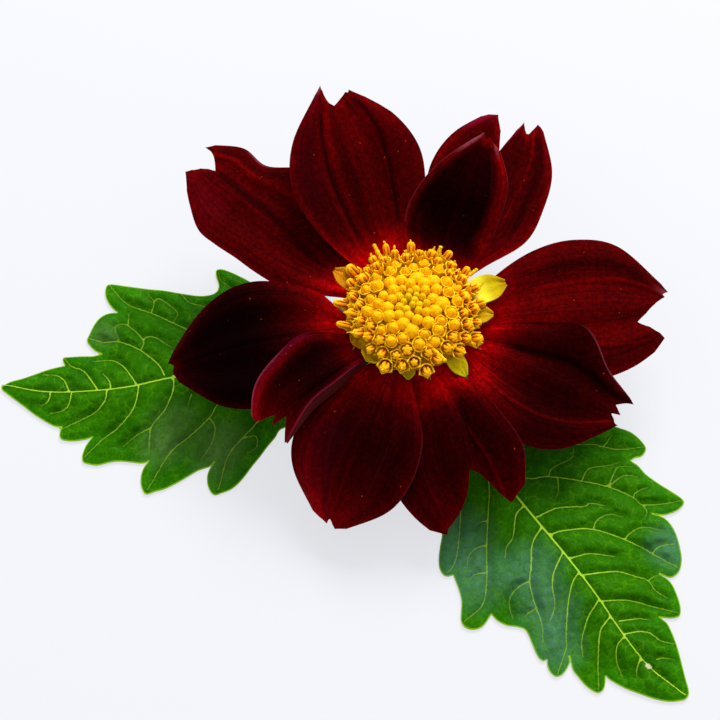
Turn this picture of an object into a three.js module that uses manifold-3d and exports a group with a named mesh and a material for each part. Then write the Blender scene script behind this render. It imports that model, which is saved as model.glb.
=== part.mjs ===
// A single-flowered dahlia, cut with a short stem and its upper pair of leaves, lying face up.
// Millimetres, +Z up. The surface is z = 0 and the origin is on it, under the middle of the whole.
// Angles are in degrees. Azimuths run from +X towards +Y.
import * as THREE from "three";
import { mergeVertices } from "three/addons/utils/BufferGeometryUtils.js";
import Module from "manifold-3d";

const wasm = await Module();
wasm.setup();

// ---------- driving dimensions ----------
const HEAD = { x: 12.2, y: 10.65 }; // where the bloom's upright axis stands
const PETAL_PLANE = 14; // height of the lowest petals' roots above the surface
const ROOT_RADIUS = 7.6; // from the axis to where a petal's blade begins
const LAYER_STEP = 0.55; // height between one layer of petals and the next
const CLAW = { radius: 5.8, halfWidth: 1.1, rootHalfWidth: 1.8 }; // the tongue that holds a petal
const SHEET = 0.7; // thickness of petals, leaves and bracts
const RECEPTACLE = { neck: 5.2, flange: 7.4, below: 0.7, above: 2.2 }; // about the petals' plane
// The disc's tips stand at rim and crown above the petals' plane; aside moves it off the axis along X.
const DISC = { radius: 12.2, rim: 4.65, crown: 8.3, florets: 98, aside: -0.6 };
const STALK_RADIUS = 1.7;
const STEM = { radius: 2, node: 2.7, reach: 24 }; // the cut stem, which lies along +Y as far as its reach

// ---------- materials ----------
const skin = (color, roughness) => new THREE.MeshStandardMaterial({ color, roughness, metalness: 0 });
const PETAL_SKIN = skin(0x4a0308, 0.55);
const DISC_SKIN = skin(0xe8a80c, 0.6);
const LEAF_SKIN = skin(0x1f6412, 0.5);
const OUTER_BRACT_SKIN = skin(0x4c7a22, 0.55);
const INNER_BRACT_SKIN = skin(0x8a7a3c, 0.5);
const STEM_SKIN = skin(0x4f6f2a, 0.6);

// ---------- helpers ----------
const { lerp, degToRad, radToDeg, clamp } = THREE.MathUtils;
const vec = (x, y, z) => new THREE.Vector3(x, y, z);
const UP = vec(0, 0, 1);

/** A point at a radius, azimuth and height about the axis. */
const around = (radius, azimuth, height) =>
  vec(radius * Math.cos(degToRad(azimuth)), radius * Math.sin(degToRad(azimuth)), height);

/** The unit direction with a heading, and a rise above level. */
const towards = (heading, rise) => around(Math.cos(degToRad(rise)), heading, Math.sin(degToRad(rise)));

/** The parabola through three values at u = 0, 0.5 and 1. */
const through = ([a, b, c], u) => a * (1 - u) * (1 - 2 * u) + 4 * b * u * (1 - u) + c * u * (2 * u - 1);

/** The smooth curve through evenly spaced values from u = 0 to u = 1. */
function smooth(values, u) {
  const last = values.length - 1;
  const k = clamp(Math.floor(u * last), 0, last - 1);
  const f = u * last - k;
  const [a, b] = [values[k], values[k + 1]];
  const before = values[k - 1] ?? 2 * a - b;
  const after = values[k + 2] ?? 2 * b - a;
  const bend = 2 * before - 5 * a + 4 * b - after + f * (3 * (a - b) + after - before);
  return a + 0.5 * f * (b - before + f * bend);
}

/** The straight-sided curve through rows of [place, value, value...], at a place. */
function between(rows, place) {
  const k = clamp(rows.findIndex(([at]) => at >= place), 1, rows.length - 1);
  const [a, b] = [rows[k - 1], rows[k]];
  const share = clamp((place - a[0]) / (b[0] - a[0]), 0, 1);
  return a.map((value, n) => lerp(value, b[n], share)).slice(1);
}

// ---------- solids ----------
/** A closed sheet of even thickness about a grid of points, rows[i][j]. Thickened along normal if it's given. */
class SheetGeometry extends THREE.BufferGeometry {
  constructor(rows, thickness, normal) {
    super();
    const end = rows.length - 1;
    const edge = rows[0].length - 1;
    const width = edge + 1;
    const upper = [];
    const lower = [];
    for (let i = 0; i <= end; i++) {
      for (let j = 0; j <= edge; j++) {
        const along = rows[Math.min(i + 1, end)][j].clone().sub(rows[Math.max(i - 1, 0)][j]);
        const across = rows[i][Math.min(j + 1, edge)].clone().sub(rows[i][Math.max(j - 1, 0)]);
        const half = (normal?.clone() ?? along.cross(across)).setLength(thickness / 2);
        upper.push(rows[i][j].clone().add(half));
        lower.push(rows[i][j].clone().sub(half));
      }
    }
    const count = upper.length;
    const index = [];
    for (let i = 0; i < end; i++) {
      for (let j = 0; j < edge; j++) {
        const a = i * width + j;
        const b = a + width;
        index.push(a, b, b + 1, a, b + 1, a + 1);
        index.push(a + count, b + 1 + count, b + count, a + count, a + 1 + count, b + 1 + count);
      }
    }
    const rim = [];
    for (let j = 0; j < edge; j++) {
      rim.push(j);
    }
    for (let i = 0; i < end; i++) {
      rim.push(i * width + edge);
    }
    for (let j = edge; j > 0; j--) {
      rim.push(end * width + j);
    }
    for (let i = end; i > 0; i--) {
      rim.push(i * width);
    }
    rim.forEach((a, k) => {
      const b = rim[(k + 1) % rim.length];
      index.push(a, b, b + count, a, b + count, a + count);
    });
    const points = [...upper, ...lower].flatMap((point) => point.toArray());
    this.setAttribute("position", new THREE.BufferAttribute(new Float32Array(points), 3));
    this.setIndex(index);
  }
}

/** A closed round rod along a path of [point, radius]. */
class RodGeometry extends THREE.BufferGeometry {
  constructor(path, sides) {
    super();
    const points = [path[0][0]];
    let side = null;
    path.forEach(([centre, radius], i) => {
      const [before] = path[Math.max(i - 1, 0)];
      const [after] = path[Math.min(i + 1, path.length - 1)];
      const ahead = after.clone().sub(before).normalize();
      side ??= Math.abs(ahead.x) < 0.9 ? vec(1, 0, 0) : vec(0, 1, 0);
      side = side.clone().addScaledVector(ahead, -side.dot(ahead)).normalize();
      const other = ahead.clone().cross(side);
      for (let k = 0; k < sides; k++) {
        const angle = (2 * Math.PI * k) / sides;
        points.push(centre.clone().addScaledVector(side, radius * Math.cos(angle))
          .addScaledVector(other, radius * Math.sin(angle)));
      }
    });
    points.push(path.at(-1)[0]);
    const index = [];
    const ring = (i, k) => 1 + i * sides + (k % sides);
    for (let k = 0; k < sides; k++) {
      index.push(0, ring(0, k + 1), ring(0, k));
      index.push(points.length - 1, ring(path.length - 1, k), ring(path.length - 1, k + 1));
      for (let i = 0; i < path.length - 1; i++) {
        index.push(ring(i, k), ring(i, k + 1), ring(i + 1, k + 1));
        index.push(ring(i, k), ring(i + 1, k + 1), ring(i + 1, k));
      }
    }
    const numbers = points.flatMap((point) => point.toArray());
    this.setAttribute("position", new THREE.BufferAttribute(new Float32Array(numbers), 3));
    this.setIndex(index);
  }
}

/** A solid turned about +Z from an outline of [radius, height], listed from the bottom up. */
function turned(outline, sides) {
  const points = outline.map(([radius, height]) => new THREE.Vector2(radius, height));
  return new THREE.LatheGeometry(points, sides).rotateX(Math.PI / 2);
}

/** Several closed geometries joined into one. */
function joined(geometries) {
  const parts = geometries.map((geometry) => {
    const bare = new THREE.BufferGeometry();
    bare.setAttribute("position", geometry.getAttribute("position"));
    bare.setIndex(geometry.index);
    const { attributes, index } = mergeVertices(bare, 1e-4);
    const triVerts = new Uint32Array(index.array);
    const vertProperties = attributes.position.array;
    return new wasm.Manifold(new wasm.Mesh({ numProp: 3, vertProperties, triVerts }));
  });
  const mesh = wasm.Manifold.union(parts).getMesh();
  const geometry = new THREE.BufferGeometry();
  geometry.setAttribute("position", new THREE.BufferAttribute(new Float32Array(mesh.vertProperties), 3));
  geometry.setIndex([...mesh.triVerts]);
  return geometry;
}

// ---------- petals ----------
// azimuth, layer: where the root stands, and how many steps up. A higher layer lies over a lower one.
// swing: turn of the midline from root to tip. lift: its rise above level at root, middle and tip.
// left, right: half widths at even steps from the root to the tip. left is the edge on the +azimuth side.
// cup: half the angle of the arc across the petal at root, middle and tip, edges up if positive.
// roll: tilt about the midline at root, middle and tip, left edge up if positive.
// end: the tip's outline from the right edge (-1) to the left (1), as [place, share of the length].
const PETALS = [
  {
    name: "petal_01_right", azimuth: 4.7, layer: 0, length: 33.3, swing: 1.3, lift: [7, 0, -6],
    left: [7.4, 10.9, 12, 10.3, 3.2], right: [7.5, 10.9, 11.8, 10, 5.7], cup: [20, 6, 2], roll: [6, 12, 12],
    end: [[-1, 0.911], [-0.86, 0.969], [-0.27, 0.848], [0.36, 0.982], [0.83, 1.011], [1, 0.985]],
  },
  {
    name: "petal_02_upper_right", azimuth: 63.1, layer: 0, length: 32.5, swing: 0.7, lift: [10, 14, 12],
    left: [5.4, 8.2, 10, 8.9, 4.5], right: [5.8, 10.2, 10.4, 8.9, 4.2], cup: [25, 15, 10], roll: [0, 0, 0],
    end: [
      [-1, 0.983], [-0.81, 1.008], [-0.42, 0.946], [-0.21, 0.993], [0.08, 0.796], [0.71, 0.978], [1, 0.935],
    ],
  },
  {
    name: "petal_03_top_inner", azimuth: 65.8, layer: 1.9, length: 24.9, swing: 1.9, lift: [8, 41, 34],
    left: [7.1, 8.8, 8.4, 5.9, 1.6], right: [5.1, 6.6, 7.2, 6.6, 2.8], cup: [29, 40, 30], roll: [9, 4, 0],
    end: [[-1, 0.971], [-0.48, 1], [0.72, 1.053], [1, 0.986]],
  },
  {
    name: "petal_04_top", azimuth: 109.5, layer: 1.4, length: 34.4, swing: 2.9, lift: [19, 24.5, 20],
    left: [7.4, 10.6, 11.5, 8.7, 1.9], right: [6.5, 9.5, 10.7, 8.2, 2.2], cup: [30, 14, 6], roll: [0, 0, 0],
    end: [[-1, 0.793], [-0.85, 0.954], [0.03, 0.903], [0.86, 1.017], [1, 0.984]],
  },
  {
    name: "petal_05_upper_left", azimuth: 141.6, layer: 0.2, length: 37.6, swing: 4.4, lift: [9, 10, 11],
    left: [6.9, 8.2, 8.7, 8.6, 2.5], right: [5.2, 8, 10.2, 11.3, 10.3, 7.2, 7.4, 4.5],
    cup: [14, 5, 4], roll: [-5, -7, -5],
    end: [[-1, 0.98], [-0.85, 1.004], [-0.21, 0.911], [0.75, 1.004], [1, 0.95]],
  },
  {
    name: "petal_06_left", azimuth: 187.7, layer: 1.6, length: 32.1, swing: 2, lift: [9, -8, -24],
    left: [7.7, 10.7, 10.8, 8.6, 2.3], right: [5.5, 9.2, 10, 7.4, 2], cup: [24, 10, 0], roll: [-8, -13, -12],
    end: [[-1, 0.99], [-0.74, 1.023], [-0.1, 0.993], [0.39, 1.01], [1, 0.987]],
  },
  {
    name: "petal_07_lower_left", azimuth: 216, layer: 2.9, length: 24.2, swing: 3.7, lift: [10, -5, -34],
    left: [1.8, 2.7, 3.2, 5.4, 7.7], right: [4.9, 7.8, 7.6, 6.2, 1.2], cup: [26, 60, 40], roll: [0, -2, 0],
    end: [
      [-1, 0.94], [-0.65, 0.946], [0.02, 0.833], [0.13, 0.897], [0.25, 0.781], [0.88, 0.895], [1, 0.875],
    ],
  },
  {
    name: "petal_08_bottom", azimuth: 247.3, layer: 2.7, length: 29, swing: -2.7, lift: [2, -20, -42],
    left: [5.9, 9.7, 10.5, 8.6, 2.5], right: [6.2, 9.1, 10.7, 8.7, 2], cup: [16, 4, -12], roll: [5, 9, 6],
    end: [[-1, 0.967], [-0.07, 0.997], [0.05, 0.966], [0.58, 1.004], [1, 0.98]],
  },
  {
    name: "petal_09_lower_right", azimuth: 285.9, layer: 2.1, length: 29.6, swing: 2.2, lift: [2, -18, -38],
    left: [5.4, 8.4, 10.1, 8.2, 7.2], right: [6.3, 9.7, 11.1, 9.3, 5.1], cup: [18, 4, -8], roll: [10, 11, 10],
    end: [[-1, 0.904], [-0.78, 0.945], [0.12, 0.638], [0.73, 0.862], [1, 0.79]],
  },
  {
    name: "petal_10_right_front", azimuth: 335, layer: 1.1, length: 29.5, swing: -1.1, lift: [7, -6, -22],
    left: [5.3, 8, 9.8, 5.4, 3.2], right: [6.9, 10.5, 11.5, 8.6, 0.8], cup: [20, 22, 14], roll: [12, 21, 24],
    end: [
      [-1, 0.959], [-0.88, 0.984], [-0.02, 0.917], [0.1, 0.967], [0.33, 0.919], [0.88, 0.992], [1, 0.878],
    ],
  },
];
const PETAL_ROWS = 10;
const WIDEST_COLUMN = 0.3; // of a half width
const FURROW = 0.3; // depth of the two soft furrows along a petal

/** A petal's midline at u: its point, its direction to the left and its upper side. */
function midline(petal, u) {
  const steps = 12;
  const direction = (v) => towards(petal.azimuth + petal.swing * v, through(petal.lift, v));
  const point = around(ROOT_RADIUS, petal.azimuth, PETAL_PLANE + petal.layer * LAYER_STEP);
  for (let k = 0; k < steps; k++) {
    point.addScaledVector(direction((u * (k + 0.5)) / steps), (petal.length * u) / steps);
  }
  const along = direction(u);
  const left = UP.clone().cross(along).normalize();
  left.applyAxisAngle(along, degToRad(through(petal.roll, u)));
  return { point, left, up: along.cross(left) };
}

function petalPoint(petal, u, t) {
  const { point, left, up } = midline(petal, u);
  const halfWidth = smooth([CLAW.rootHalfWidth, ...(t < 0 ? petal.right : petal.left)], u);
  const arc = degToRad(through(petal.cup, u)) || 1e-6;
  const furrow = FURROW * Math.cos(3 * Math.PI * t) * Math.sin(Math.PI * clamp(u, 0, 1)) ** 0.7;
  return point
    .addScaledVector(left, (halfWidth * Math.sin(arc * t)) / arc)
    .addScaledVector(up, (halfWidth * (1 - Math.cos(arc * t))) / arc + furrow);
}

/** Places across a petal that hold every point of its end and leave no column too wide. */
function petalColumns(petal) {
  const places = [-1];
  for (let k = 1; k < petal.end.length; k++) {
    const [from, to] = [petal.end[k - 1][0], petal.end[k][0]];
    const cuts = Math.ceil((to - from) / WIDEST_COLUMN);
    for (let c = 1; c <= cuts; c++) {
      places.push(lerp(from, to, c / cuts));
    }
  }
  return places;
}

function petalGeometry(petal) {
  const places = petalColumns(petal);
  const claw = around(CLAW.radius, petal.azimuth, PETAL_PLANE + petal.layer * LAYER_STEP);
  const left = midline(petal, 0).left;
  const rows = [places.map((t) => claw.clone().addScaledVector(left, t * CLAW.halfWidth))];
  for (let i = 0; i <= PETAL_ROWS; i++) {
    rows.push(places.map((t) => petalPoint(petal, (i / PETAL_ROWS) * between(petal.end, t)[0], t)));
  }
  return new SheetGeometry(rows, SHEET);
}

// ---------- disc: a domed cushion packed with florets, and the chaff round its edge ----------
const GOLDEN_ANGLE = 137.508;
const FLORET_SIDES = 5;
const OPEN_FROM = 0.62; // of the disc's radius: florets further out are open
const BUD = [[0, -1.9], [0.6, -1.9], [0.88, -0.6], [0.5, -0.1], [0, 0]];
const OPEN_FLORET = [[0, -2.7], [0.45, -2.7], [0.88, -0.15], [0, 0]];
const CUSHION = [[0, 2.5], [7.6, 2.6], [9.5, 3.6], [10.2, 4.3], [9.4, 5.1], [6.5, 6.3], [0, 7.2]];
// Styles that stand out of the rim, as [azimuth, radius of the tip, its height above the petals' plane].
const LONG_STYLES = [
  [36, 13.2, 4.6], [70, 12.2, 7], [117, 13.6, 5.6], [240, 12, 3.4], [283, 12.6, 3.4], [328, 11.9, 4.6],
];
const STYLE_ROOT = { radius: 9, height: 4.2 };
const STYLE = { radius: 0.4, tipRadius: 0.3, taper: 0.2 }; // taper: share of its length that narrows
// Chaff scales, as [azimuth, radius of the tip, half width, rise above level].
const CHAFF = [
  [19, 15.2, 2.3, 4], [151, 15, 1.9, 4], [267, 11.6, 1.3, -4], [307, 13.2, 1.8, -8], [357, 13, 1.6, 4],
];
const CHAFF_ROOT = { radius: 8.6, height: 3.7 };
const CHAFF_WIDTHS = [0.8, 1, 0.85, 0.35]; // of the half width, from root to tip
const CHAFF_TROUGH = 0.3; // rise of a scale's edges above its middle

/** A turned solid whose top stands at tip and whose axis points along axis. */
function standing(outline, sides, tip, axis) {
  const turn = new THREE.Quaternion().setFromUnitVectors(UP, axis);
  return turned(outline, sides).applyQuaternion(turn).translate(tip.x, tip.y, tip.z);
}

function florets() {
  return Array.from({ length: DISC.florets }, (_, k) => {
    const share = Math.sqrt((k + 0.5) / DISC.florets);
    const azimuth = k * GOLDEN_ANGLE;
    const height = lerp(DISC.crown, DISC.rim, share ** 2.2);
    const tip = around(DISC.radius * share, azimuth, PETAL_PLANE + height);
    const axis = towards(azimuth, 90 - 70 * share ** 1.6);
    return standing(share > OPEN_FROM ? OPEN_FLORET : BUD, FLORET_SIDES, tip, axis);
  });
}

function longStyle([azimuth, radius, height]) {
  const root = around(STYLE_ROOT.radius, azimuth, PETAL_PLANE + STYLE_ROOT.height);
  const tip = around(radius, azimuth, PETAL_PLANE + height);
  const shoulder = tip.clone().lerp(root, STYLE.taper);
  const path = [[root, STYLE.radius], [shoulder, STYLE.radius], [tip, STYLE.tipRadius]];
  return new RodGeometry(path, FLORET_SIDES);
}

function chaffScale([azimuth, radius, halfWidth, rise]) {
  const root = around(CHAFF_ROOT.radius, azimuth, PETAL_PLANE + CHAFF_ROOT.height);
  const direction = towards(azimuth, rise);
  const left = UP.clone().cross(direction).normalize();
  const step = (radius - CHAFF_ROOT.radius) / (CHAFF_WIDTHS.length - 1);
  const rows = CHAFF_WIDTHS.map((width, i) => {
    const centre = root.clone().addScaledVector(direction, step * i);
    return [-1, 0, 1].map((t) => centre.clone().addScaledVector(left, t * width * halfWidth)
      .add(vec(0, 0, CHAFF_TROUGH * t * t)));
  });
  return new SheetGeometry(rows, SHEET);
}

function discGeometry() {
  const cushion = turned(CUSHION, 18).translate(0, 0, PETAL_PLANE);
  return joined([cushion, ...florets(), ...LONG_STYLES.map(longStyle), ...CHAFF.map(chaffScale)]);
}

// ---------- bracts under the bloom ----------
// root, height: where the blades start, from the axis and above the petals' plane. lift: as on a petal.
const INNER_BRACTS = { count: 8, root: 8, height: -2, length: 9, halfWidth: 2.7, lift: [-14, -30, -42] };
const OUTER_BRACTS = { count: 5, root: 5.5, height: -4.4, length: 10, halfWidth: 2, lift: [-30, -44, -30] };
const BRACT_WIDTHS = [0.75, 1, 0.95, 0.7, 0.2]; // of the half width, from root to tip
const BRACT_TROUGH = 0.5; // rise of a blade's edges above its middle, at the tip
const COLLAR = { inside: 0.1, outside: 0.8, half: 0.5, sides: 16 }; // the ring that joins the blades' roots

function bractGeometry({ count, root, height, length, halfWidth, lift }) {
  const blades = Array.from({ length: count }, (_, n) => {
    const azimuth = (360 * (n + 0.5)) / count;
    const left = UP.clone().cross(towards(azimuth, 0));
    const step = length / (BRACT_WIDTHS.length - 1);
    const centre = around(root, azimuth, PETAL_PLANE + height);
    const rows = BRACT_WIDTHS.map((width, i) => {
      const u = i / (BRACT_WIDTHS.length - 1);
      centre.addScaledVector(towards(azimuth, through(lift, u)), i > 0 ? step : 0);
      return [-1, 0, 1].map((t) => centre.clone().addScaledVector(left, t * width * halfWidth)
        .add(vec(0, 0, BRACT_TROUGH * t * t * u)));
    });
    return new SheetGeometry(rows, SHEET);
  });
  const [inner, outer] = [root - COLLAR.inside, root + COLLAR.outside];
  const [bottom, top] = [height - COLLAR.half, height + COLLAR.half];
  const section = [[inner, bottom], [outer, bottom], [outer, top], [inner, top], [inner, bottom]];
  const collar = turned(section, COLLAR.sides).translate(0, 0, PETAL_PLANE);
  return joined([collar, ...blades]);
}

// ---------- stem: the receptacle, the flower stalk, the node and the cut stem that lies behind ----------
function stemGeometry() {
  const { neck, flange, below, above } = RECEPTACLE;
  const { radius, node, reach } = STEM;
  const receptacle = turned([
    [0, -6], [1.9, -5.6], [4.2, -4.4], [6.6, -2.4], [flange, -1.4], [flange - 0.2, -below],
    [neck, -below], [neck, above], [0, above],
  ], 24).translate(0, 0, PETAL_PLANE);
  const stalk = new RodGeometry([
    [vec(0, 0, PETAL_PLANE - 4.5), STALK_RADIUS], [vec(0, 0, 7), STALK_RADIUS],
    [vec(0, 0.4, 4.8), 2.2], [vec(0, 1.6, 3.4), node], [vec(0, 4.2, 2.5), 2.3],
    [vec(0, 8, radius), radius], [vec(0, 16, radius), radius], [vec(0, reach, radius), radius],
  ], 12);
  return joined([receptacle, stalk]);
}

// ---------- leaves ----------
// base: where the blade begins, from the bloom's axis. heading: of the midrib.
// bow: how far the midrib bends to its left, at even steps along it.
// left, right: the toothed edge from base to tip, as [start of its vein along the midrib, along, across].
const LEAVES = [
  {
    name: "leaf_left", base: [-12.3, 0.7], heading: 184, length: 55.2,
    bow: [0, -0.1, -0.2, 0.3, 0.8, 2, 2.3, 1.9, 0],
    right: [
      [0, 0.1, 0.8], [0.5, 3.9, 6.4], [1, 8.2, 12.3], [1.5, 12.1, 16.9], [2.4, 17.6, 19.5], [3.6, 19.4, 19.8],
      [6.4, 19, 16.4], [9, 20.6, 14.8], [12.6, 26.1, 15.8], [16, 32.6, 17], [20, 37.6, 18.1], [24.4, 37.9, 15.2],
      [26.2, 36, 12.5], [29, 39.2, 11.4], [32.4, 40.9, 7.5], [33.6, 38.8, 5], [36, 42.3, 4.9], [39, 45.2, 4.5],
      [41, 44.9, 2.8], [47, 50, 1.8], [55.2, 55.2, 0],
    ],
    left: [
      [0, 0.1, 0.9], [0.5, 3, 6.2], [1, 6.6, 10.8], [2.4, 10, 11.3], [3.2, 13.8, 16.1], [4.3, 17.9, 20.9],
      [6.7, 21.2, 22.5], [10, 22.3, 19.2], [10.6, 21.1, 16.7], [13.5, 25.8, 19.3], [16.4, 29.4, 21],
      [19.1, 32.1, 21.5], [22.2, 32.8, 17.9], [22.8, 31.6, 15.8], [27.8, 36.5, 15.5], [31.2, 40, 15.8],
      [33.8, 42.2, 15], [34.6, 42, 13.4], [35.4, 40.6, 10.8], [40.3, 45.9, 10.8], [41.6, 45.5, 8.6],
      [44.3, 47.9, 7.7], [49.3, 51.5, 4.6], [55.2, 55.2, 0],
    ],
  },
  {
    name: "leaf_right", base: [6.3, -10.3], heading: 306.4, length: 59.3,
    bow: [0, 0.1, 0.1, 0.1, 0, -0.4, -1.1, -1.4, 0],
    right: [
      [0, 0.3, 0.8], [0.4, 5.7, 6.2], [0.9, 11.5, 11], [1.7, 14.9, 13.4], [2.3, 16.7, 15.2], [2.9, 18.9, 17.1],
      [4.7, 21.2, 17.2], [5.9, 21.5, 16.3], [8.2, 24.9, 17.3], [9.3, 27.5, 19.1], [10.6, 29.5, 20.3],
      [14.5, 31.5, 17.7], [15.6, 30.5, 15.8], [19.6, 33.6, 14.8], [23.5, 35.7, 13.1], [25.9, 38.1, 13.4],
      [28.2, 41.1, 14.4], [29.6, 41.7, 13.6], [30.4, 42.7, 14.2], [32.5, 45, 14.2], [34.2, 44.3, 11.5],
      [35, 43.3, 10.3], [36.4, 45.7, 11.3], [38.9, 48.4, 11.2], [41.8, 50.8, 10.7], [42.8, 49.2, 7.9],
      [47.7, 52.8, 6.6], [52.9, 56.2, 4], [59.3, 59.3, 0],
    ],
    left: [
      [0, 0.1, 0.7], [0.6, 4, 5.1], [1.2, 7.6, 8.8], [1.8, 10.7, 13], [2.4, 13.7, 17.3], [3, 15.7, 20.4],
      [3.8, 18.5, 22.1], [6.6, 22.2, 22.4], [8.7, 22.6, 19.9], [9.5, 21.4, 17.4], [13.4, 26.9, 19.3],
      [16.1, 30.4, 20.4], [18.5, 33.3, 21], [20.6, 34, 18.7], [21.4, 32, 15.7], [23, 34.6, 16.8],
      [25.5, 37.2, 16.3], [30.2, 40.8, 14.3], [33, 42.5, 12.3], [33.8, 40.7, 9.9], [35.2, 42.8, 10.4],
      [37.9, 45.4, 9.6], [41.6, 48.2, 7.6], [42.4, 46.5, 5], [44, 48.4, 5.3], [47.2, 51, 4.1],
      [51.8, 54.3, 2.6], [59.3, 59.3, 0],
    ],
  },
];
const LEAF_COLUMNS = [0, 1 / 3, 2 / 3, 1]; // from the midrib to the edge; the last strip lies flat
const LEAF_ARCH = 2.2; // rise of the midrib where the leaf is broad
const LEAF_SLOPES = { base: 6, tip: 22 }; // lengths over which the arch rises at the base and dies to the tip
const TIP_STEP = 0.12; // between the columns where they end at the tip
const NODE_Y = 1.6; // the leaves leave the stem round this point
const PETIOLE = { radius: 1, start: 3.3, height: 2.6, sag: 1.3 };
const PETIOLE_END = { inside: 4, radius: 0.6, height: 0.8 }; // its taper under the midrib

/** Where the edge's points on either side have their veins' starts, in order and each once. */
function veinStarts(leaf) {
  const starts = [...leaf.left, ...leaf.right].map(([start]) => start).sort((a, b) => a - b);
  return starts.filter((start, k) => k === 0 || start - starts[k - 1] > 1e-6);
}

function leafBlade(leaf) {
  const across = (start, side) => {
    const [along, out] = between(side < 0 ? leaf.right : leaf.left, start);
    const bow = smooth(leaf.bow, start / leaf.length);
    const arch = LEAF_ARCH * Math.min(1, start / LEAF_SLOPES.base, (leaf.length - start) / LEAF_SLOPES.tip);
    return LEAF_COLUMNS.map((c) => {
      const rise = arch * Math.max(0, 1 - (c / LEAF_COLUMNS[2]) ** 2);
      return vec(lerp(start, along, c), lerp(bow, side * out, c), SHEET / 2 + rise);
    });
  };
  const rows = veinStarts(leaf).map((start) => {
    const right = across(start, -1);
    const left = across(start, 1);
    const middle = right[0].lerp(left[0], 0.5);
    return [...right.slice(1).reverse(), middle, ...left.slice(1)];
  });
  rows.pop();
  const tip = vec(leaf.length, 0, SHEET / 2);
  const columns = rows[0].length;
  const aside = (j) => vec(0, TIP_STEP * (j - (columns - 1) / 2), 0);
  rows.push(Array.from({ length: columns }, (_, j) => tip.clone().add(aside(j))));
  return new SheetGeometry(rows, SHEET, UP);
}

function leafGeometry(leaf) {
  const [x, y] = leaf.base;
  const blade = leafBlade(leaf).rotateZ(degToRad(leaf.heading)).translate(x, y, 0);
  const azimuth = radToDeg(Math.atan2(y - NODE_Y, x));
  const start = around(PETIOLE.start, azimuth, PETIOLE.height).add(vec(0, NODE_Y, 0));
  const foot = vec(x, y, PETIOLE.radius);
  const sag = start.clone().lerp(foot, 0.45).setZ(PETIOLE.sag);
  const end = foot.clone().addScaledVector(towards(leaf.heading, 0), PETIOLE_END.inside);
  const petiole = new RodGeometry([
    [start, PETIOLE.radius], [sag, PETIOLE.radius], [foot, PETIOLE.radius],
    [end.setZ(PETIOLE_END.height), PETIOLE_END.radius],
  ], 8);
  return joined([blade, petiole]);
}

// ---------- assembly ----------
const flower = new THREE.Group();
const bloom = new THREE.Group();
bloom.position.set(HEAD.x, HEAD.y, 0);
flower.add(bloom);

function place(name, geometry, material) {
  const mesh = new THREE.Mesh(geometry, material);
  mesh.name = name;
  bloom.add(mesh);
}

for (const petal of PETALS) {
  place(petal.name, petalGeometry(petal), PETAL_SKIN);
}
place("disc", discGeometry().translate(DISC.aside, 0, 0), DISC_SKIN);
place("inner_bracts", bractGeometry(INNER_BRACTS), INNER_BRACT_SKIN);
place("outer_bracts", bractGeometry(OUTER_BRACTS), OUTER_BRACT_SKIN);
place("stem", stemGeometry(), STEM_SKIN);
for (const leaf of LEAVES) {
  place(leaf.name, leafGeometry(leaf), LEAF_SKIN);
}

export default flower;
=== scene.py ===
import math

import bpy
import numpy as np
from mathutils.geometry import delaunay_2d_cdt
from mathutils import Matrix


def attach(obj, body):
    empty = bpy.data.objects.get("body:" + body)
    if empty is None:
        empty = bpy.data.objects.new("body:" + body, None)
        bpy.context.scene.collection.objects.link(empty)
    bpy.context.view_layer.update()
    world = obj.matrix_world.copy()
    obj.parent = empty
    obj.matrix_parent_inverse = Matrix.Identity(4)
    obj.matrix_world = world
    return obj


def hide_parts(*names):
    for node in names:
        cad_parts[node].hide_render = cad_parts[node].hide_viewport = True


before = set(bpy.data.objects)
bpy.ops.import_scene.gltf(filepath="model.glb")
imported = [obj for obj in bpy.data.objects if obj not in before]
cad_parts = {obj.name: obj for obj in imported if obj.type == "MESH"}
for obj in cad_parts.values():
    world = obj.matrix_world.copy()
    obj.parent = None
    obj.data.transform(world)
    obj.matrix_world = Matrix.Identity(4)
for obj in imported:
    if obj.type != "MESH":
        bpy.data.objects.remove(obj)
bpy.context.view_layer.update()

MM = 0.001
UP = np.array([0.0, 0.0, 1.0])

# ---------- driving dimensions ----------
HEAD = np.array([12.2, 10.65, 0.0])  # foot of the bloom's axis
PETAL_PLANE = 14.0  # height of the lowest petals' roots
ROOT_RADIUS = 7.6
LAYER_STEP = 0.55
CLAW_RADIUS = 5.8
CLAW_HALF_WIDTH = 1.1
ROOT_HALF_WIDTH = 1.8
PETAL_THICKNESS = 0.42
PETAL_EDGE_THICKNESS = 0.1
PETAL_EDGE_TAPER = 1.3  # width of the strip that thins towards the edge
CREASE = 50  # surfaces that meet at more than this stay crisp


# ---------- shape helpers ----------
def turn(azimuth):
    return np.cos(np.radians(azimuth)), np.sin(np.radians(azimuth))


def around(radius, azimuth, height):
    """Points at a radius, azimuth and height about the axis."""
    cos, sin = turn(azimuth)
    return np.stack(np.broadcast_arrays(radius * cos, radius * sin, height), -1).astype(float)


def towards(heading, rise):
    """Unit directions with a heading and a rise above level."""
    cos, sin = turn(rise)
    return around(cos, heading, sin)


def unit(vectors):
    return vectors / np.maximum(np.linalg.norm(vectors, axis=-1, keepdims=True), 1e-12)


def parabola(values, u):
    """The parabola through three values, or three times the same one, at u = 0, 0.5 and 1."""
    a, b, c = np.broadcast_to(values, 3)
    return a * (1 - u) * (1 - 2 * u) + 4 * b * u * (1 - u) + c * u * (2 * u - 1)


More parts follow.
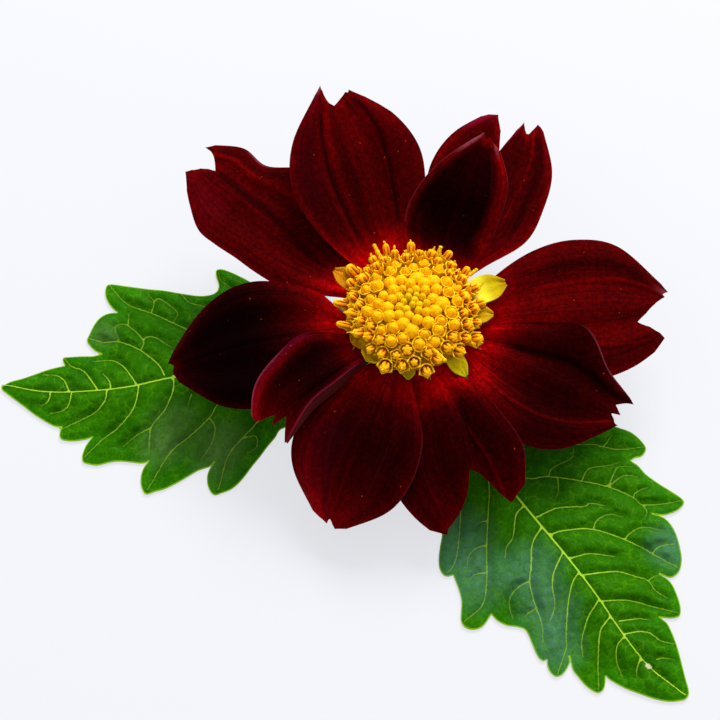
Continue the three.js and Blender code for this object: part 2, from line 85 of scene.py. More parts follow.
def smooth(values, u):
    """The smooth curve through evenly spaced values from u = 0 to u = 1."""
    padded = np.concatenate([[2 * values[0] - values[1]], values, [2 * values[-1] - values[-2]]])
    last = len(values) - 1
    k = np.clip(np.floor(np.asarray(u) * last).astype(int), 0, last - 1)
    f = u * last - k
    before, a, b, after = (padded[k + n] for n in range(4))
    bend = 2 * before - 5 * a + 4 * b - after + f * (3 * (a - b) + after - before)
    return a + 0.5 * f * (b - before + f * bend)


def smooth_path(points, u):
    """The smooth curve through evenly spaced points, at each u."""
    return np.stack([smooth(values, u) for values in np.asarray(points, float).T], -1)


def between(places, marks, path):
    """Points at places along a path whose own points stand at marks."""
    return np.stack([np.interp(places, marks, values) for values in path.T], -1)


def ease(value, low, high):
    """0 below low, 1 above high and smooth between."""
    share = np.clip((value - low) / (high - low), 0, 1)
    return share * share * (3 - 2 * share)


def bump(value, centre, half_width):
    """A smooth hump of height 1 about a centre."""
    return np.clip(1 - ((value - centre) / half_width) ** 2, 0, 1) ** 2


def both_sides(values, shape=None):
    """Values at a sheet's upper points, filled out to a shape if given, and again for its lower ones."""
    return np.tile(np.broadcast_to(values, shape or np.shape(values)).ravel(), 2)


# ---------- shader helpers ----------
class Paint:
    """A material or node group in the making, with short ways to add and join its nodes."""

    def __init__(self, tree):
        self.tree = tree

    def join(self, value, socket):
        if isinstance(value, bpy.types.NodeSocket):
            self.tree.links.new(value, socket)
        elif isinstance(value, tuple) and len(value) == 3 and socket.type == "RGBA":
            socket.default_value = (*value, 1)
        else:
            socket.default_value = value

    def add(self, kind, inputs=None, output=0, **settings):
        """A new node of a kind. inputs maps a socket's name or number to a value or another node's output."""
        node = self.tree.nodes.new(kind)
        for key, value in settings.items():
            setattr(node, key, value)
        for key, value in (inputs or {}).items():
            self.join(value, node.inputs[key])
        return node.outputs[output]

    def math(self, operation, *values, clamp=False):
        return self.add("ShaderNodeMath", dict(enumerate(values)), operation=operation, use_clamp=clamp)

    def times(self, a, b, clamp=False):
        return self.math("MULTIPLY", a, b, clamp=clamp)

    def plus(self, a, b):
        return self.math("ADD", a, b)

    def scaled(self, value, gain, offset, clamp=False):
        return self.math("MULTIPLY_ADD", value, gain, offset, clamp=clamp)

    def mix(self, share, a, b):
        return self.add("ShaderNodeMix", {0: share, 6: a, 7: b}, 2, data_type="RGBA", blend_type="MIX")

    def ramp(self, value, *stops):
        """A smooth ramp from (place, colour or level) stops."""
        node = self.tree.nodes.new("ShaderNodeValToRGB")
        node.color_ramp.interpolation = "EASE"
        elements = node.color_ramp.elements
        while len(elements) < len(stops):
            elements.new(1)
        for element, (place, colour) in zip(elements, stops):
            element.position = place
            element.color = (*colour, 1) if isinstance(colour, tuple) else (colour, colour, colour, 1)
        self.join(value, node.inputs[0])
        return node.outputs[0]

    def noise(self, vector, scale, detail=2.0, roughness=0.5, distortion=0.0):
        settings = {"Vector": vector, "Scale": scale, "Detail": detail}
        settings |= {"Roughness": roughness, "Distortion": distortion}
        return self.add("ShaderNodeTexNoise", settings)

    def read(self, attribute):
        return self.add("ShaderNodeAttribute", output="Fac", attribute_name=attribute)

    def place(self):
        """The object's own coordinates."""
        return self.add("ShaderNodeTexCoord", output="Object")

    def group(self, tree, output=0, **inputs):
        node = self.tree.nodes.new("ShaderNodeGroup")
        node.node_tree = tree
        for name, value in inputs.items():
            self.join(value, node.inputs[name.replace("_", " ")])
        return node.outputs[output]


def effect(name, inputs, output, build):
    """A shader node group with one output. inputs maps names to (socket kind, default value)."""
    tree = bpy.data.node_groups.new(name, "ShaderNodeTree")
    for label, (kind, value) in inputs.items():
        socket = tree.interface.new_socket(label, in_out="INPUT", socket_type=kind)
        if value is not None:
            socket.default_value = value
    tree.interface.new_socket(output, in_out="OUTPUT", socket_type=FLOAT)
    paint = Paint(tree)
    result = build(paint, tree.nodes.new("NodeGroupInput").outputs)
    paint.join(result, tree.nodes.new("NodeGroupOutput").inputs[output])
    return tree


def finish(name, colour, roughness, height=None, bump_depth=0.0, **sockets):
    """A material whose colour and bump height come from build functions of its Paint."""
    material = bpy.data.materials.new(name)
    material.use_nodes = True
    paint = Paint(material.node_tree)
    shader = material.node_tree.nodes["Principled BSDF"]
    paint.join(colour(paint), shader.inputs["Base Color"])
    paint.join(roughness, shader.inputs["Roughness"])
    if height:
        settings = {"Strength": 1.0, "Distance": bump_depth * MM, "Height": height(paint)}
        paint.join(paint.add("ShaderNodeBump", settings), shader.inputs["Normal"])
    for key, value in sockets.items():
        paint.join(value, shader.inputs[key.replace("_", " ")])
    return material


def streaks_build(paint, given):
    across = paint.times(given["Across"], given["Count"])
    along = paint.times(given["Along"], given["Stretch"])
    place = paint.add("ShaderNodeCombineXYZ", {0: across, 1: along, 2: given["Seed"]})
    coarse = paint.noise(place, 1.0, 3.0, 0.6, 0.2)
    fine = paint.noise(place, 3.1)
    return paint.plus(paint.times(coarse, 0.62), paint.times(fine, 0.38))


def specks_build(paint, given):
    spacing = {"Vector": given["Vector"], "Scale": given["Scale"], "Randomness": 1.0}
    cells = paint.add("ShaderNodeTexVoronoi", spacing, "Distance")
    dots = paint.math("LESS_THAN", cells, given["Size"])
    gate = paint.math("GREATER_THAN", paint.noise(given["Vector"], 900.0), given["Sparseness"])
    return paint.times(dots, gate)


def grain_build(paint, given):
    return paint.noise(given["Vector"], given["Scale"], given["Detail"])


FLOAT = "NodeSocketFloat"
VECTOR = "NodeSocketVector"
STREAK_DEFAULTS = dict(Along=0, Across=0, Count=12, Stretch=1, Seed=0)
STREAK_INPUTS = {name: (FLOAT, value) for name, value in STREAK_DEFAULTS.items()}
SPECK_INPUTS = {
    "Vector": (VECTOR, None), "Scale": (FLOAT, 600), "Size": (FLOAT, 0.1), "Sparseness": (FLOAT, 0.6),
}
GRAIN_INPUTS = {"Vector": (VECTOR, None), "Scale": (FLOAT, 1500), "Detail": (FLOAT, 2)}
STREAKS = effect("lengthwise_streaks", STREAK_INPUTS, "Level", streaks_build)
SPECKS = effect("specks", SPECK_INPUTS, "Mask", specks_build)
GRAIN = effect("fine_grain", GRAIN_INPUTS, "Level", grain_build)


def streaks(paint, count, stretch, seed):
    """Streaks along a piece that has the attributes along and across."""
    along = paint.read("along")
    across = paint.read("across")
    return paint.group(STREAKS, Along=along, Across=across, Count=count, Stretch=stretch, Seed=seed)


# ---------- mesh helpers ----------
def piece(name, points, faces, material, node, slot, **attributes):
    """A mesh object from points in millimetres. It stands for a node and rides on the flower's one body."""
    mesh = bpy.data.meshes.new(name)
    mesh.from_pydata((np.asarray(points) * MM).tolist(), [], [list(map(int, face)) for face in faces])
    for label, values in attributes.items():
        layer = mesh.attributes.new(label, "FLOAT", "POINT")
        filled = np.broadcast_to(np.ravel(values), len(points)).astype(np.float32)
        layer.data.foreach_set("value", filled)
    mesh.shade_smooth()
    mesh.set_sharp_from_angle(angle=math.radians(CREASE))
    mesh.materials.append(material)
    made = bpy.data.objects.new(name, mesh)
    bpy.context.scene.collection.objects.link(made)
    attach(made, "root")
    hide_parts(node)


def grid_faces(rows, columns, start=0, flip=False, around_too=False):
    """Quads over a grid of points; around_too also closes it from the last column to the first."""
    row, column = np.meshgrid(np.arange(rows - 1), np.arange(columns - (not around_too)), indexing="ij")
    after = (column + 1) % columns
    here, ahead = row * columns, (row + 1) * columns
    quads = np.stack([here + column, ahead + column, ahead + after, here + after], -1).reshape(-1, 4) + start
    return quads[:, ::-1] if flip else quads


def sheet(grid, half):
    """A closed sheet about a grid of middle points, half as thick each way as half says."""
    rows, columns = grid.shape[:2]
    normals = unit(np.cross(np.gradient(grid, axis=0), np.gradient(grid, axis=1)))
    offset = normals * np.broadcast_to(half, (rows, columns))[..., None]
    points = np.concatenate([(grid + offset).reshape(-1, 3), (grid - offset).reshape(-1, 3)])
    count = rows * columns
    index = np.arange(count).reshape(rows, columns)
    rim = np.concatenate([index[0, :-1], index[:-1, -1], index[-1, :0:-1], index[:0:-1, 0]])
    after = np.roll(rim, -1)
    rim_faces = np.stack([rim, after, after + count, rim + count], -1)
    faces = np.concatenate([grid_faces(rows, columns), grid_faces(rows, columns, count, True), rim_faces])
    return points, faces


class Growth:
    """Many small solids gathered into one mesh, with their attributes."""

    def __init__(self):
        self.points = []
        self.faces = []
        self.attributes = {}
        self.count = 0

    def take(self, points, faces, **attributes):
        self.points.append(points)
        self.faces += [[index + self.count for index in face] for face in faces]
        self.count += len(points)
        for label, values in attributes.items():
            filled = np.broadcast_to(np.asarray(values, float), (len(points),))
            self.attributes.setdefault(label, []).append(filled)

    def piece(self, name, material, node, slot):
        attributes = {label: np.concatenate(values) for label, values in self.attributes.items()}
        piece(name, np.concatenate(self.points) + HEAD, self.faces, material, node, slot, **attributes)


def tube_faces(rings, sides):
    """Faces of a solid made of rings of points, with both ends closed."""
    faces = grid_faces(rings, sides, flip=True, around_too=True).tolist()
    first = list(range(sides))
    return faces + [first[::-1], [index + (rings - 1) * sides for index in first]]


def turned(outline, sides, ripple=None):
    """A solid turned about +Z from (radius, height) points, bottom first. ripple moves its rings' points."""
    outline = np.asarray(outline, float)
    angle = np.linspace(0, 2 * np.pi, sides, endpoint=False)
    radius = outline[:, :1] * np.ones(sides)
    height = outline[:, 1:] * np.ones(sides)
    if ripple:
        radius, height = ripple(angle, radius, height)
    points = np.stack([radius * np.cos(angle), radius * np.sin(angle), height], -1).reshape(-1, 3)
    return points, tube_faces(len(outline), sides)


def stand(points, tip, axis, spin=0.0):
    """Points of a solid about +Z, set with its origin at tip and +Z along axis."""
    side = unit(np.cross(axis, [0.3, 0.2, 1.0] if abs(axis[2]) < 0.9 else [1.0, 0.0, 0.0]))
    other = np.cross(axis, side)
    cos, sin = turn(spin)
    side, other = side * cos + other * sin, other * cos - side * sin
    return tip + points[:, :1] * side + points[:, 1:2] * other + points[:, 2:] * axis


def rod(path, radii, sides):
    """A closed round rod along a path."""
    ahead = unit(np.gradient(path, axis=0))
    side = unit(np.cross(ahead[0], [0.0, 0.3, 1.0] if abs(ahead[0][2]) < 0.9 else [1.0, 0.0, 0.0]))
    angle = np.linspace(0, 2 * np.pi, sides, endpoint=False)[:, None]
    rings = []
    for centre, direction, radius in zip(path, ahead, radii):
        side = unit(side - direction * (side @ direction))
        other = np.cross(direction, side)
        rings.append(centre + radius * (np.cos(angle) * side + np.sin(angle) * other))
    return np.concatenate(rings), tube_faces(len(path), sides)


# ---------- petals ----------
# azimuth, layer: where the root stands, and how many steps up. swing: turn of the midline from root to tip.
# lift: its rise above level at root, middle and tip. left, right: half widths at even steps from root to tip.
# cup: half the angle of the arc across at root, middle and tip. roll: tilt about the midline, left edge up.
# end: the tip's outline from the right edge (-1) to the left (1), as (place, share of the length).
# tone: lightness of the red at even steps from root to tip: the petal's own red with painted light and shade,
# set for how light falls on each petal.
# glow, rim: what the root and the edges add to it; the glow is a redder root, partly painted light shining
# through it; the rim lighter edges, partly painted sheen.
# marks: lengthwise folds, lines and bands, as (kind, places across at root, middle and tip, reach along,
# half width, strength). dark is a groove with painted shade in it; light is a ridge with a painted highlight,
# pale a ridge with grey-pink painted sheen; bright and rose are lighter and pinker bands without relief.
# One number stands for root, middle and tip where they are the same.
PETALS = {
    "petal_01_right": dict(
        azimuth=4.7, layer=0, length=33.3, swing=1.3, lift=(7, 0, -6), left=(7.4, 10.9, 12, 10.3, 3.2),
        right=(7.5, 10.9, 11.8, 10, 5.7), cup=(20, 6, 2), roll=(6, 12, 12),
        end=(
            (-1, 0.914), (-0.94, 0.942), (-0.86, 0.97), (-0.67, 0.95), (-0.43, 0.904), (-0.32, 0.864),
            (-0.27, 0.848), (-0.14, 0.894), (0.03, 0.936), (0.24, 0.97), (0.44, 0.996), (0.52, 0.986),
            (0.85, 1.014), (1, 0.985),
        ),
        tone=(0.48, 0.33, 0.28, 0.255, 0.25), rim=0.03,
        marks=(
            ("dark", (0.85, 0.8, 0.8), (0.1, 1), 3, 0.12),
            ("dark", (-0.85, -0.8, -0.8), (0.1, 1), 3, 0.12),
            ("light", (0.42, 0.4, 0.5), (0.3, 1), 0.5, 0.7),
            ("dark", (0.62, 0.62, 0.66), (0.35, 0.95), 2.2, 0.3),
            ("light", (-0.4, -0.45, -0.8), (0.5, 1), 0.35, 0.6),
            ("dark", (-0.6, -0.62, -0.7), (0.55, 1), 1.6, 0.25),
            ("pale", (0.5, 0.5, 0.62), (0.93, 1.1), 0.8, 0.6),
        ),
    ),
    "petal_02_upper_right": dict(
        azimuth=63.1, layer=0, length=32.5, swing=0.7, lift=(10, 14, 12), left=(5.4, 8.2, 10, 8.9, 4.5),
        right=(5.8, 10.2, 10.4, 8.9, 4.2), cup=(25, 15, 10), roll=0,
        end=(
            (-1, 0.984), (-0.93, 1), (-0.8, 1.01), (-0.59, 0.974), (-0.45, 0.946), (-0.38, 0.944),
            (-0.31, 0.962), (-0.21, 0.996), (-0.06, 0.942), (0.03, 0.864), (0.08, 0.796), (0.11, 0.822),
            (0.21, 0.872), (0.3, 0.908), (0.45, 0.938), (0.6, 0.962), (0.71, 0.98), (0.93, 0.962),
            (1, 0.935),
        ),
        tone=(0.5, 0.31, 0.22, 0.215, 0.25), glow=0.2, rim=0.12,
        marks=(
            ("rose", (-0.3, -0.3, 0.1), (0.87, 1.1), 1.7, 0.3),
            ("rose", (0.7, 0.7, 0.6), (0.86, 1.1), 3, 0.12),
            ("light", (-0.48, -0.5, -0.6), (0.4, 1), 0.5, 0.8),
            ("dark", (-0.75, -0.7, -0.8), (0.35, 1), 1.1, 0.35),
            ("rose", 1, (0.8, 1.1), 1.6, 0.9),
        ),
    ),
    "petal_03_top_inner": dict(
        azimuth=65.8, layer=1.9, length=24.9, swing=1.9, lift=(8, 41, 34), left=(7.1, 8.8, 8.2, 5.7, 1.6),
        right=(5.1, 6.6, 7.2, 6.6, 2.8), cup=(29, 40, 30), roll=(9, 4, 0),
        end=(
            (-1, 0.971), (-0.8, 0.996), (-0.54, 1.012), (-0.43, 1.036), (-0.2, 1.018), (0, 1.03),
            (0.68, 1.056), (0.85, 1.02), (1, 0.986),
        ),
        tone=(0.6, 0.19, 0.085, 0.115, 0.18), glow=0.22, rim=0.2,
        marks=(
            ("bright", (-0.74, -0.76, -0.78), (0.25, 1), 2.1, 1),
            ("pale", (-0.86, -0.86, -0.8), (0.9, 1.1), 0.5, 0.6),
            ("pale", 1, (0.3, 1.1), 0.26, 0.14),
            ("pale", (0.97, 0.97, 0.93), (0.86, 1.1), 0.75, 0.9),
            ("pale", -1, (0.35, 1.1), 0.22, 0.08),
            ("pale", (-0.6, -0.56, -0.48), (0.66, 1), 0.25, 0.03),
            ("light", (0.7, 0.72, 0.75), (0.05, 0.5), 1, 0.5),
        ),
    ),
    "petal_04_top": dict(
        azimuth=109.5, layer=1.4, length=34.4, swing=2.9, lift=(19, 24.5, 20),
        left=(7.4, 10.6, 11.5, 8.7, 1.9),
        right=(6.5, 9.5, 10.7, 8.2, 2.2), cup=(30, 14, 6), roll=0,
        end=(
            (-1, 0.793), (-0.95, 0.9), (-0.85, 0.956), (-0.7, 0.944), (-0.62, 0.95), (-0.27, 0.928),
            (0.03, 0.904), (0.17, 0.926), (0.31, 0.96), (0.48, 0.99), (0.86, 1.018), (1, 0.984),
        ),
        tone=(0.56, 0.29, 0.21, 0.25, 0.27), glow=0.28, rim=0.06,
        marks=(
            ("rose", 0.8, (0.45, 1.1), 4, 0.04),
            ("dark", (0.46, 0.4, 0.47), (0.15, 0.95), 0.8, 0.55),
            ("dark", (0.74, 0.72, 0.72), (0.1, 0.9), 3, 0.3),
            ("dark", (-0.45, -0.47, -0.7), (0.22, 0.95), 0.7, 0.5),
            ("light", (0.3, 0.28, 0.34), (0.35, 1), 0.9, 0.45),
            ("pale", (0.86, 0.86, 0.9), (0.95, 1.1), 0.7, 0.9),
        ),
    ),
    "petal_05_upper_left": dict(
        azimuth=141.6, layer=0.2, length=37.6, swing=4.4, lift=(9, 10, 11),
        left=(2.9, 5.3, 7.4, 8.4, 8.7, 8.7, 8.9, 8.6, 6, 2.5),
        right=(5.2, 8, 10.2, 11.3, 10.3, 7.2, 7.4, 4.5), cup=(14, 5, 4), roll=(-5, -7, -5),
        end=(
            (-1, 0.98), (-0.85, 1.006), (-0.72, 0.976), (-0.49, 0.944), (-0.2, 0.908), (-0.15, 0.938),
            (-0.03, 0.966), (0.31, 0.992), (0.79, 1.008), (0.9, 0.985), (1, 0.95),
        ),
        tone=(0.62, 0.3, 0.245, 0.25, 0.28), glow=0.2, rim=0.05,
        marks=(
            ("dark", -0.85, (0.3, 1), 3, 0.22),
            ("rose", 0.5, (0.7, 1.1), 5, 0.06),
            ("light", (-0.22, -0.48, -0.62), (0.33, 1), 0.8, 0.9),
            ("dark", (0.3, 0, -0.22), (0.25, 0.95), 1.2, 0.45),
            ("dark", (0.4, 0.6, 0.74), (0.22, 1), 0.35, 0.3),
            ("pale", -1, (0.7, 0.88), 0.5, 0.5),
        ),
    ),
    "petal_06_left": dict(
        azimuth=187.7, layer=1.6, length=32.1, swing=2, lift=(9, -8, -24), left=(7.7, 10.7, 10.8, 8.6, 2.3),
        right=(2.6, 6.1, 8, 9.2, 10, 10, 9.1, 7.4, 4.9, 2), cup=(24, 10, 0), roll=(-8, -13, -12),
        end=((-1, 0.99), (-0.74, 1.023), (-0.1, 0.993), (0.39, 1.01), (1, 0.987)),
        tone=(0.52, 0.29, 0.085, 0.05, 0.12), glow=0.2, rim=0.09,
        marks=(
            ("light", (-0.7, -0.72, -0.8), (0.2, 1), 2, 0.3),
            ("dark", 0, (0.3, 1), 0.5, 0.4),
        ),
    ),
    "petal_07_lower_left": dict(
        azimuth=216, layer=2.9, length=24.2, swing=3.7, lift=(10, -5, -34), left=(1.8, 2.7, 3.2, 5.4, 7.7),
        right=(4.9, 7.8, 7.4, 5.8, 1.2), cup=(26, 60, 40), roll=(0, -2, 0),
        end=(
            (-1, 0.935), (-0.9, 0.945), (-0.62, 0.952), (-0.48, 0.94), (-0.3, 0.918), (-0.14, 0.876),
            (0.01, 0.833), (0.14, 0.897), (0.2, 0.836), (0.25, 0.784), (0.88, 0.895), (1, 0.875),
        ),
        tone=(0.44, 0.17, 0.09, 0.17, 0.32), rim=0.05,
        marks=(
            ("rose", -1, (0.3, 1.1), 1.8, 0.5),
            ("bright", (-0.7, -0.8, -0.8), (0.35, 1.1), 2.4, 0.5),
            ("light", (-0.8, -0.82, -0.86), (0.15, 1), 1.7, 0.95),
            ("pale", -1, (0.5, 1.1), 0.35, 0.4),
            ("rose", 1, (0.1, 1.1), 0.7, 0.9),
        ),
    ),
    "petal_08_bottom": dict(
        azimuth=247.3, layer=2.7, length=29, swing=-2.7, lift=(2, -20, -42), left=(5.9, 9.7, 10.5, 8.6, 2.5),
        right=(6.2, 9.1, 10.7, 8.7, 2), cup=(16, 4, -12), roll=(5, 9, 6),
        end=(
            (-1, 0.966), (-0.59, 0.982), (-0.08, 0.996), (-0.03, 0.974), (0.03, 0.964), (0.26, 0.988),
            (0.58, 1.006), (1, 0.98),
        ),
        tone=(0.42, 0.22, 0.13, 0.2, 0.35), glow=0.12, rim=0.05,
        marks=(
            ("bright", -0.75, (0.25, 1.1), 3.4, 0.5),
            ("rose", -0.6, (0.4, 1.1), 6, 0.07),
            ("pale", (-0.52, -0.46, -0.12), (0.25, 0.95), 0.2, 0.015),
            ("pale", -1, (0.02, 0.7), 0.3, 0.06),
            ("pale", (0.56, 0.47, 0.5), (0.2, 1), 0.2, 0.015),
            ("light", 0, (0.02, 0.3), 2.4, 0.5),
            ("pale", 1, (0.3, 1.1), 0.2, 0.07),
        ),
    ),
    "petal_09_lower_right": dict(
        azimuth=285.9, layer=2.1, length=29.6, swing=2.2, lift=(2, -18, -38), left=(5.4, 8.4, 10.2, 8.8, 7.2),
        right=(6.3, 9.7, 11.1, 9.3, 5.1), cup=(18, 4, -8), roll=(10, 11, 10),
        end=(
            (-1, 0.9), (-0.88, 0.926), (-0.78, 0.946), (-0.63, 0.912), (-0.48, 0.892), (-0.3, 0.86),
            (-0.16, 0.82), (-0.04, 0.768), (0.04, 0.712), (0.09, 0.664), (0.12, 0.636), (0.26, 0.678),
            (0.36, 0.724), (0.52, 0.796), (0.64, 0.838), (0.73, 0.864), (0.84, 0.832), (1, 0.788),
        ),
        tone=(0.64, 0.235, 0.14, 0.19, 0.28), glow=0.2, rim=0.06,
        marks=(
            ("dark", (-0.8, -0.85, -0.85), (0.02, 0.6), 3, 0.35),
            ("light", (-0.5, -0.52, -0.52), (0.4, 0.85), 0.3, 0.7),
            ("light", (0.2, 0.36, 0.8), (0.35, 0.85), 0.35, 0.7),
            ("dark", (0.6, 0.3, 0.2), (0.2, 0.6), 1, 0.4),
            ("pale", 1, (0.3, 0.95), 0.2, 0.08),
        ),
    ),
    "petal_10_right_front": dict(
        azimuth=335, layer=1.1, length=29.5, swing=-1.1, lift=(7, -6, -22), left=(5.3, 8, 9.8, 5.4, 3.2),
        right=(6.9, 10.5, 11.5, 8.6, 0.8), cup=(20, 22, 14), roll=(12, 21, 24),
        end=(
            (-1, 0.959), (-0.84, 0.984), (-0.5, 0.962), (-0.23, 0.948), (-0.04, 0.92), (0.1, 0.968),
            (0.23, 0.942), (0.34, 0.918), (0.66, 0.958), (0.9, 0.996), (0.96, 0.96), (1, 0.878),
        ),
        tone=(0.6, 0.31, 0.155, 0.15, 0.24), rim=0.03,
        marks=(
            ("dark", (0.5, 0.36, 0.8), (0.2, 1.1), 1.1, 0.55),
            ("light", (-0.6, -0.54, -0.42), (0.15, 1), 0.4, 0.8),
            ("pale", 1, (0.55, 1.1), 0.27, 0.45),
            ("pale", 0.8, (0.36, 0.5), 0.5, 0.02),
            ("light", -0.8, (0.05, 0.55), 2.4, 0.4),
        ),
    ),
}
PETAL_ROWS = 96
PETAL_COLUMNS = 88
FURROW = 0.3
GROOVE_DEPTH = 0.3
RIDGE_HEIGHT = 0.22
RIM_WIDTH = 2.2
CLAW_SHARE = 0.06  # how far before the root the claw's end counts, as a share of the length
LEAST_ARC = 1e-5  # stands for a flat section
# How much painted shade darkens a groove and how much a painted highlight lightens a ridge; then a bright
# band's lightness.
GROOVE_SHADE = 0.8
RIDGE_HIGHLIGHT = 0.1
BAND_LIGHT = 0.2
# A redder root, partly painted light shining through it.
GLOW = 0.15  # extra lightness where a petal leaves the disc, unless the petal has its own
GLOW_REACH = (0.14, 0.32)
# The petal beside the lowest one has its left edge turned straight down. MARGIN_DROP: how far, at even steps.
MARGIN_PETAL = "petal_07_lower_left"
MARGIN_DROP = (0.5, 1.4, 2.1, 2.5, 2.6, 2.0, 0.4)
MARGIN_REACH = (0.01, 0.88)  # shares of the petal's length
MARGIN_SLANT = 0.12
MARGIN_ROWS = 70
MARGIN_COLUMNS = 12
MARGIN_HALF_THICKNESS = 0.09


def petal_foot(petal, radius):
    """Where a petal's midline stands at a radius no farther out than its root."""
    return around(radius, petal["azimuth"], PETAL_PLANE + petal["layer"] * LAYER_STEP)


def midline(petal, u):
    """A petal's midline at u: points, directions to the left and upper sides."""
    fine = np.linspace(0, 1.1, 221)  # a little past the length, where some tips reach
    middle = (fine[1:] + fine[:-1]) / 2
    steps = towards(petal["azimuth"] + petal["swing"] * middle, parabola(petal["lift"], middle))
    steps *= petal["length"] * (fine[1] - fine[0])
    root = petal_foot(petal, ROOT_RADIUS)
    points = between(u, fine, np.concatenate([[root], root + np.cumsum(steps, axis=0)]))
    along = towards(petal["azimuth"] + petal["swing"] * u, parabola(petal["lift"], u))
    left = unit(np.cross(UP, along))
    level_up = np.cross(along, left)
    cos, sin = turn(parabola(petal["roll"], u))
    left = left * cos[..., None] + level_up * sin[..., None]
    return points, left, np.cross(along, left)


def half_width(petal, u, t):
    left = smooth((ROOT_HALF_WIDTH, *petal["left"]), u)
    right = smooth((ROOT_HALF_WIDTH, *petal["right"]), u)
    return np.where(t < 0, right, left)


def petal_marks(petal, u, t, *kinds):
    """Strength of a petal's marks of some kinds at each place."""
    width = half_width(petal, u, t)
    total = np.zeros(np.broadcast(u, t).shape)
    for kind, places, (start, stop), half, strength in petal["marks"]:
        if kind in kinds:
            gap = (t - parabola(places, u)) * width
            started = ease(u, start, start + 0.12)
            total += strength * bump(gap, 0, half) * started * (1 - ease(u, stop - 0.1, stop))
    return np.clip(total, 0, 1)


def petal_surface(petal, u, t):
    """Middle points of a petal at u along it and t across it, from its right edge (-1) to its left (1)."""
    points, left, up = midline(petal, u)
    width = half_width(petal, u, t)
    arc = np.radians(parabola(petal["cup"], u))
    arc = np.where(np.abs(arc) < LEAST_ARC, LEAST_ARC, arc)
    swell = np.sin(np.pi * np.clip(u, 0, 1)) ** 0.7
    relief = FURROW * np.cos(3 * np.pi * t) * swell
    relief -= GROOVE_DEPTH * petal_marks(petal, u, t, "dark")
    relief += RIDGE_HEIGHT * petal_marks(petal, u, t, "light", "pale")
    side = width * np.sin(arc * t) / arc
    rise = width * (1 - np.cos(arc * t)) / arc + relief
    return points + left * side[..., None] + up * rise[..., None]


def petal_places(petal):
    """Places across a petal, close together and with every point of its end among them."""
    marks = [place for place, _ in petal["end"]]
    places = [-1.0]
    for start, stop in zip(marks, marks[1:]):
        cuts = max(2, round((stop - start) / 2 * PETAL_COLUMNS))
        places += np.linspace(start, stop, cuts + 1)[1:].tolist()
    return np.array(places)


def petal_end(petal, t):
    return np.interp(t, *np.array(petal["end"]).T)


def make_petal(name, petal, material):
    t = petal_places(petal)
    u = np.linspace(0, 1, PETAL_ROWS)[:, None] * petal_end(petal, t)
    t = np.broadcast_to(t, u.shape)
    claw_left = midline(petal, np.array([0.0]))[1]
    claw_row = petal_foot(petal, CLAW_RADIUS) + claw_left * t[:1].T * CLAW_HALF_WIDTH
    grid = np.concatenate([claw_row[None], petal_surface(petal, u, t)])
    u = np.concatenate([u[:1] - CLAW_SHARE, u])
    t = np.concatenate([t[:1], t])
    side_edge = (1 - np.abs(t)) * half_width(petal, u, t)
    tip_edge = (petal_end(petal, t) - u) * petal["length"]
    edge = np.minimum(side_edge, tip_edge)
    thin = ease(edge, -0.01, PETAL_EDGE_TAPER)
    points, faces = sheet(grid, (PETAL_EDGE_THICKNESS + (PETAL_THICKNESS - PETAL_EDGE_THICKNESS) * thin) / 2)
    marks = {kind: petal_marks(petal, u, t, kind) for kind in ("dark", "light", "bright", "pale", "rose")}
    # The tone holds each petal's painted light and shade; the rim adds lighter edges, partly painted sheen.
    level = smooth(petal["tone"], np.clip(u, 0, 1)) + petal["rim"] * (1 - ease(edge, 0, RIM_WIDTH))
    # Painted shade in the grooves and a painted highlight on the ridges.
    level = level * (1 - GROOVE_SHADE * marks["dark"]) + RIDGE_HIGHLIGHT * marks["light"]
    level += BAND_LIGHT * marks["bright"]
    # The glow: a redder root, partly painted light shining through it.
    glow = petal.get("glow", GLOW) * (1 - ease(u, *GLOW_REACH)) * (1 - 0.5 * t**2)
    piece(
        name + "_blade", points + HEAD, faces, material, name, "petal",
        along=both_sides(u), across=both_sides(t), under=np.repeat([0.0, 1.0], u.size),
        level=both_sides(level + glow), seed=petal["azimuth"],
        pale=both_sides(marks["pale"]), rose=both_sides(marks["rose"]),
    )


def make_margin(material):
    """The edge that turns down."""
    petal = PETALS[MARGIN_PETAL]
    share = np.linspace(0, 1, MARGIN_ROWS)
    u = MARGIN_REACH[0] + share * (MARGIN_REACH[1] - MARGIN_REACH[0])
    s = np.linspace(0, 1, MARGIN_COLUMNS)
    drop = smooth(MARGIN_DROP, share)[:, None] * s
    edge = petal_surface(petal, u, np.ones(len(u)))[:, None]
    grid = edge + midline(petal, u)[1][:, None] * (MARGIN_SLANT * drop)[..., None]
    grid[..., 2] -= drop
    points, faces = sheet(grid, MARGIN_HALF_THICKNESS)
    # The fold at its top carries grey-pink painted sheen, fading down the strip.
    piece(
        MARGIN_PETAL + "_margin", points + HEAD, faces, material, MARGIN_PETAL, "petal",
        along=both_sides(u[:, None], drop.shape), across=both_sides(s * 0.3, drop.shape),
        under=1.0, level=0.2, seed=petal["azimuth"],
        pale=both_sides(0.6 * (1 - ease(s, 0.0, 0.3)), drop.shape), rose=0.0,
    )


